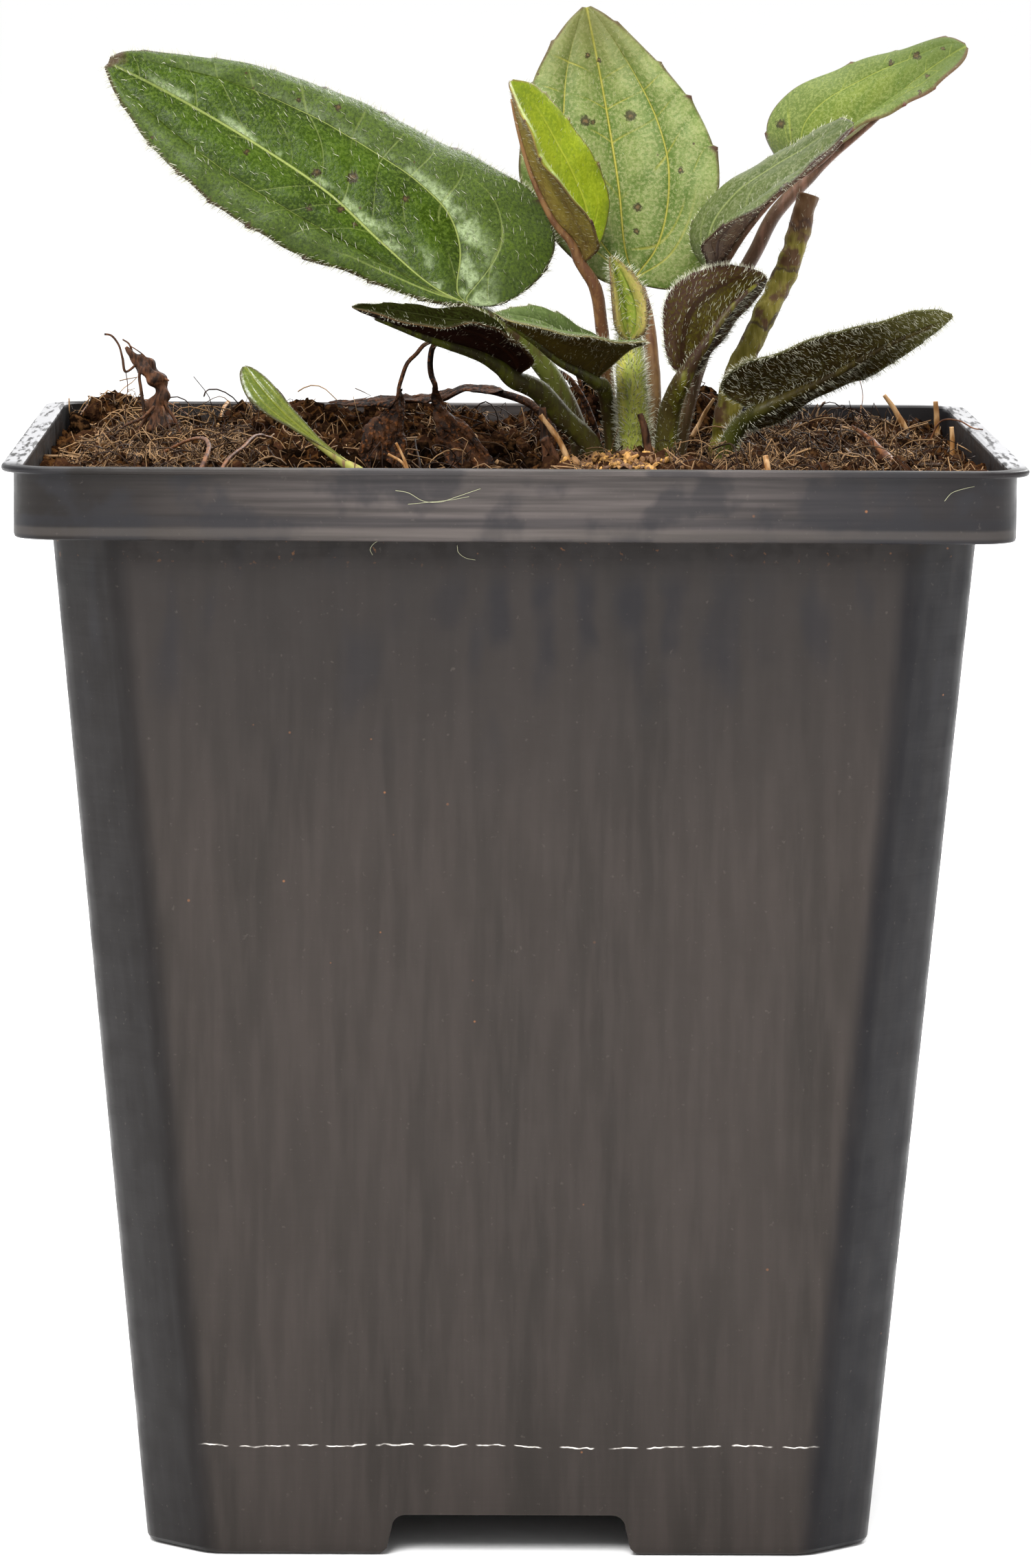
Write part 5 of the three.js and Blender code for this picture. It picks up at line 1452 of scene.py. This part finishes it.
threads("withered_threads", brown_finish, [
    (0.12, 0.1, [(-35.0, 12, 104.3), (-36.1, 11.8, 103.6), (-36.4, 11.9, 104.9), (-36.8, 12, 106.2),
                 (-37.5, 12, 107), (-38.1, 12, 107.1)]),
    (0.14, 0.08, [(-34.4, 12.2, 104.6), (-35.3, 12.2, 105.1), (-35.8, 12.2, 106.2), (-36.4, 12.3, 106.6)]),
    (0.09, 0.05, [(-33.9, 12, 104.6), (-34.6, 12, 105.3), (-35.8, 12, 106.1)]),
    (0.05, 0.04, [(-36.1, 11.8, 103.7), (-35.9, 11.7, 102.2), (-36.1, 11.6, 100.2), (-36.1, 11.5, 97)]),
    (0.17, 0.14, [(-34.5, 11.7, 104), (-34.8, 11.6, 103.4), (-34.65, 11.5, 102), (-34.4, 11.4, 100.4),
                  (-34.1, 11.5, 98.4)]),
    (0.3, 0.08, [(-33.3, 11.8, 103), (-32.6, 11.6, 103), (-32, 11.5, 102.8)]),
    (0.2, 0.14, [(-32.7, 11.4, 101.6), (-32.1, 11.2, 100.2), (-31.3, 11, 98.9), (-30.6, 10.8, 97)]),
    (0.16, 0.1, [(-33.4, 10.9, 100.4), (-34.4, 10.2, 99.4), (-36.2, 9.2, 98.6), (-37.6, 8.6, 97)]),
    (0.14, 0.1, [(-32.6, 10.9, 100.4), (-32.2, 10.2, 99.3), (-31.8, 9.4, 98), (-32, 9, 96.8)]),
    (0.18, 0.12, [(-33.8, 11, 99.8), (-34.6, 10.6, 98.6), (-35.2, 10.2, 97.4), (-35.4, 10, 96.4)]),
])

# Loose straws, rootlets and stubs: dry bits of plant, held by the peat that they stand in, some of them
# over the rim. A few fine hairs cling to the collar.
straw = Finish("straw")
grain = straw.grain(0.6, 3, straw.stretched(1, 1, 0.3))
straw.base(straw.ramp(grain, 0.35, 0.65), "795127", "ab885f")
straw_finish = straw.done(0.5, Specular_IOR_Level=0.2)
root_skin = Finish("root_skin")
root_skin.base(root_skin.patches(0.7, 3, 0.35, 0.65), "3b2215", "6c4529")
root_finish = root_skin.done(0.5, Specular_IOR_Level=0.2)
threads("straws", straw_finish, [
    (0.22, 0.34, [(36.3, 30, 100.6), (37.2, 30, 99.4), (38.6, 30, 97)]),
    (0.26, 0.3, [(41.4, 32, 99.9), (41.5, 32, 98.6), (41.6, 32, 96.6)]),
    (0.24, 0.26, [(40.8, 0, 99.6), (40.9, 0, 98), (40.9, 0, 95.6)]),
    (0.2, 0.16, [(-27.1, 38, 99.1), (-27.5, 36, 98.6), (-28, 33, 97)]),
    (0.26, 0.3, [(2.6, -7.4, 101), (4.1, -7.6, 99), (5.4, -8, 96.6)]),
    (0.24, 0.14, [(17, 7, 98), (18.1, 8, 100), (19.1, 8, 101.6)]),
    (0.3, 0.26, [(22, -36, 99.4), (22.2, -36.4, 98.4), (22.4, -37, 96.6)]),
    (0.12, 0.16, [(-10.5, -36, 100.4), (-9.8, -36, 99), (-9.2, -36, 97)]),
    (0.14, 0.1, [(-11.2, -36, 99.4), (-9.9, -36, 98.6), (-9.2, -36, 97)]),
])
threads("rootlets", root_finish, [
    (0.14, 0.24, [(-32.1, -20, 98), (-29.5, -22, 99.4), (-27.9, -26, 100), (-27.1, -31, 99.8),
                  (-27.2, -36, 99), (-28.1, -40, 97)]),
    (0.2, 0.14, [(-26.4, -38, 97), (-25.4, -34, 98.6), (-24.1, -28, 99.4), (-23.1, -22, 100),
                 (-21.9, -16, 99.4)]),
    (0.65, 0.12, [(34.6, -22, 96.4), (33.6, -19, 98.2), (32.2, -15, 99.6), (31, -11, 100.4)]),
    (0.06, 0.05, [(-42, 36, 97), (-40.2, 42, 99.1), (-38.1, 43.6, 99.3), (-36.1, 44, 98.9), (-33.4, 42, 98.9),
                  (-30, 40, 97)]),
    (0.09, 0.07, [(39.4, 12, 97), (40.6, 11, 99.4), (42.2, 10, 99.5), (43.4, 9, 98.9), (44.2, 7, 98.9)]),
    (0.05, 0.04, [(27, 40, 97), (28, 42, 100), (28.4, 42.4, 101.6), (28, 42.2, 102.8)]),
    (0.05, 0.04, [(34, 36, 97), (34.8, 40, 100), (34.4, 41, 102), (34.2, 41.2, 103)]),
])
threads("crown_stubs", brown_finish, [
    (0.5, 0.3, [(12.9, -4.6, 95.5), (12.6, -4.8, 97.6), (12.2, -4.9, 99.6), (11.8, -4.9, 101)]),
    (0.3, 0.5, [(4.6, -8.4, 95.2), (3.9, -8.8, 97.4), (2.9, -9.2, 99)]),
])
threads("collar_hairs", bristle_finish, [
    (0.03, 0.024, [(-10.5, -43.95, 96.8), (-9.4, -43.96, 96.6), (-8.1, -43.96, 95.9), (-6.7, -43.96, 95.8),
                  (-5.1, -43.96, 96.3), (-3.1, -43.95, 97)]),
    (0.026, 0.02, [(-9.4, -43.95, 95.6), (-7.5, -43.96, 95.8), (-5.7, -43.96, 96), (-4.1, -43.95, 96.3)]),
    (0.024, 0.018, [(37.3, -43.95, 96.1), (37.9, -43.96, 96.8), (39, -43.96, 97.2), (39.9, -43.95, 97.4)]),
    (0.026, 0.02, [(-12.5, -40.9, 90.9), (-12.7, -41, 91.4), (-12.4, -41.1, 91.9), (-11.9, -41.2, 92.2)]),
    (0.026, 0.02, [(-5.1, -41.1, 91.8), (-5, -41, 91.2), (-4.4, -40.9, 90.7), (-3.5, -40.9, 90.5)]),
])

# The shapes that were only set out are taken away
for made in shapes:
    bpy.data.objects.remove(made)
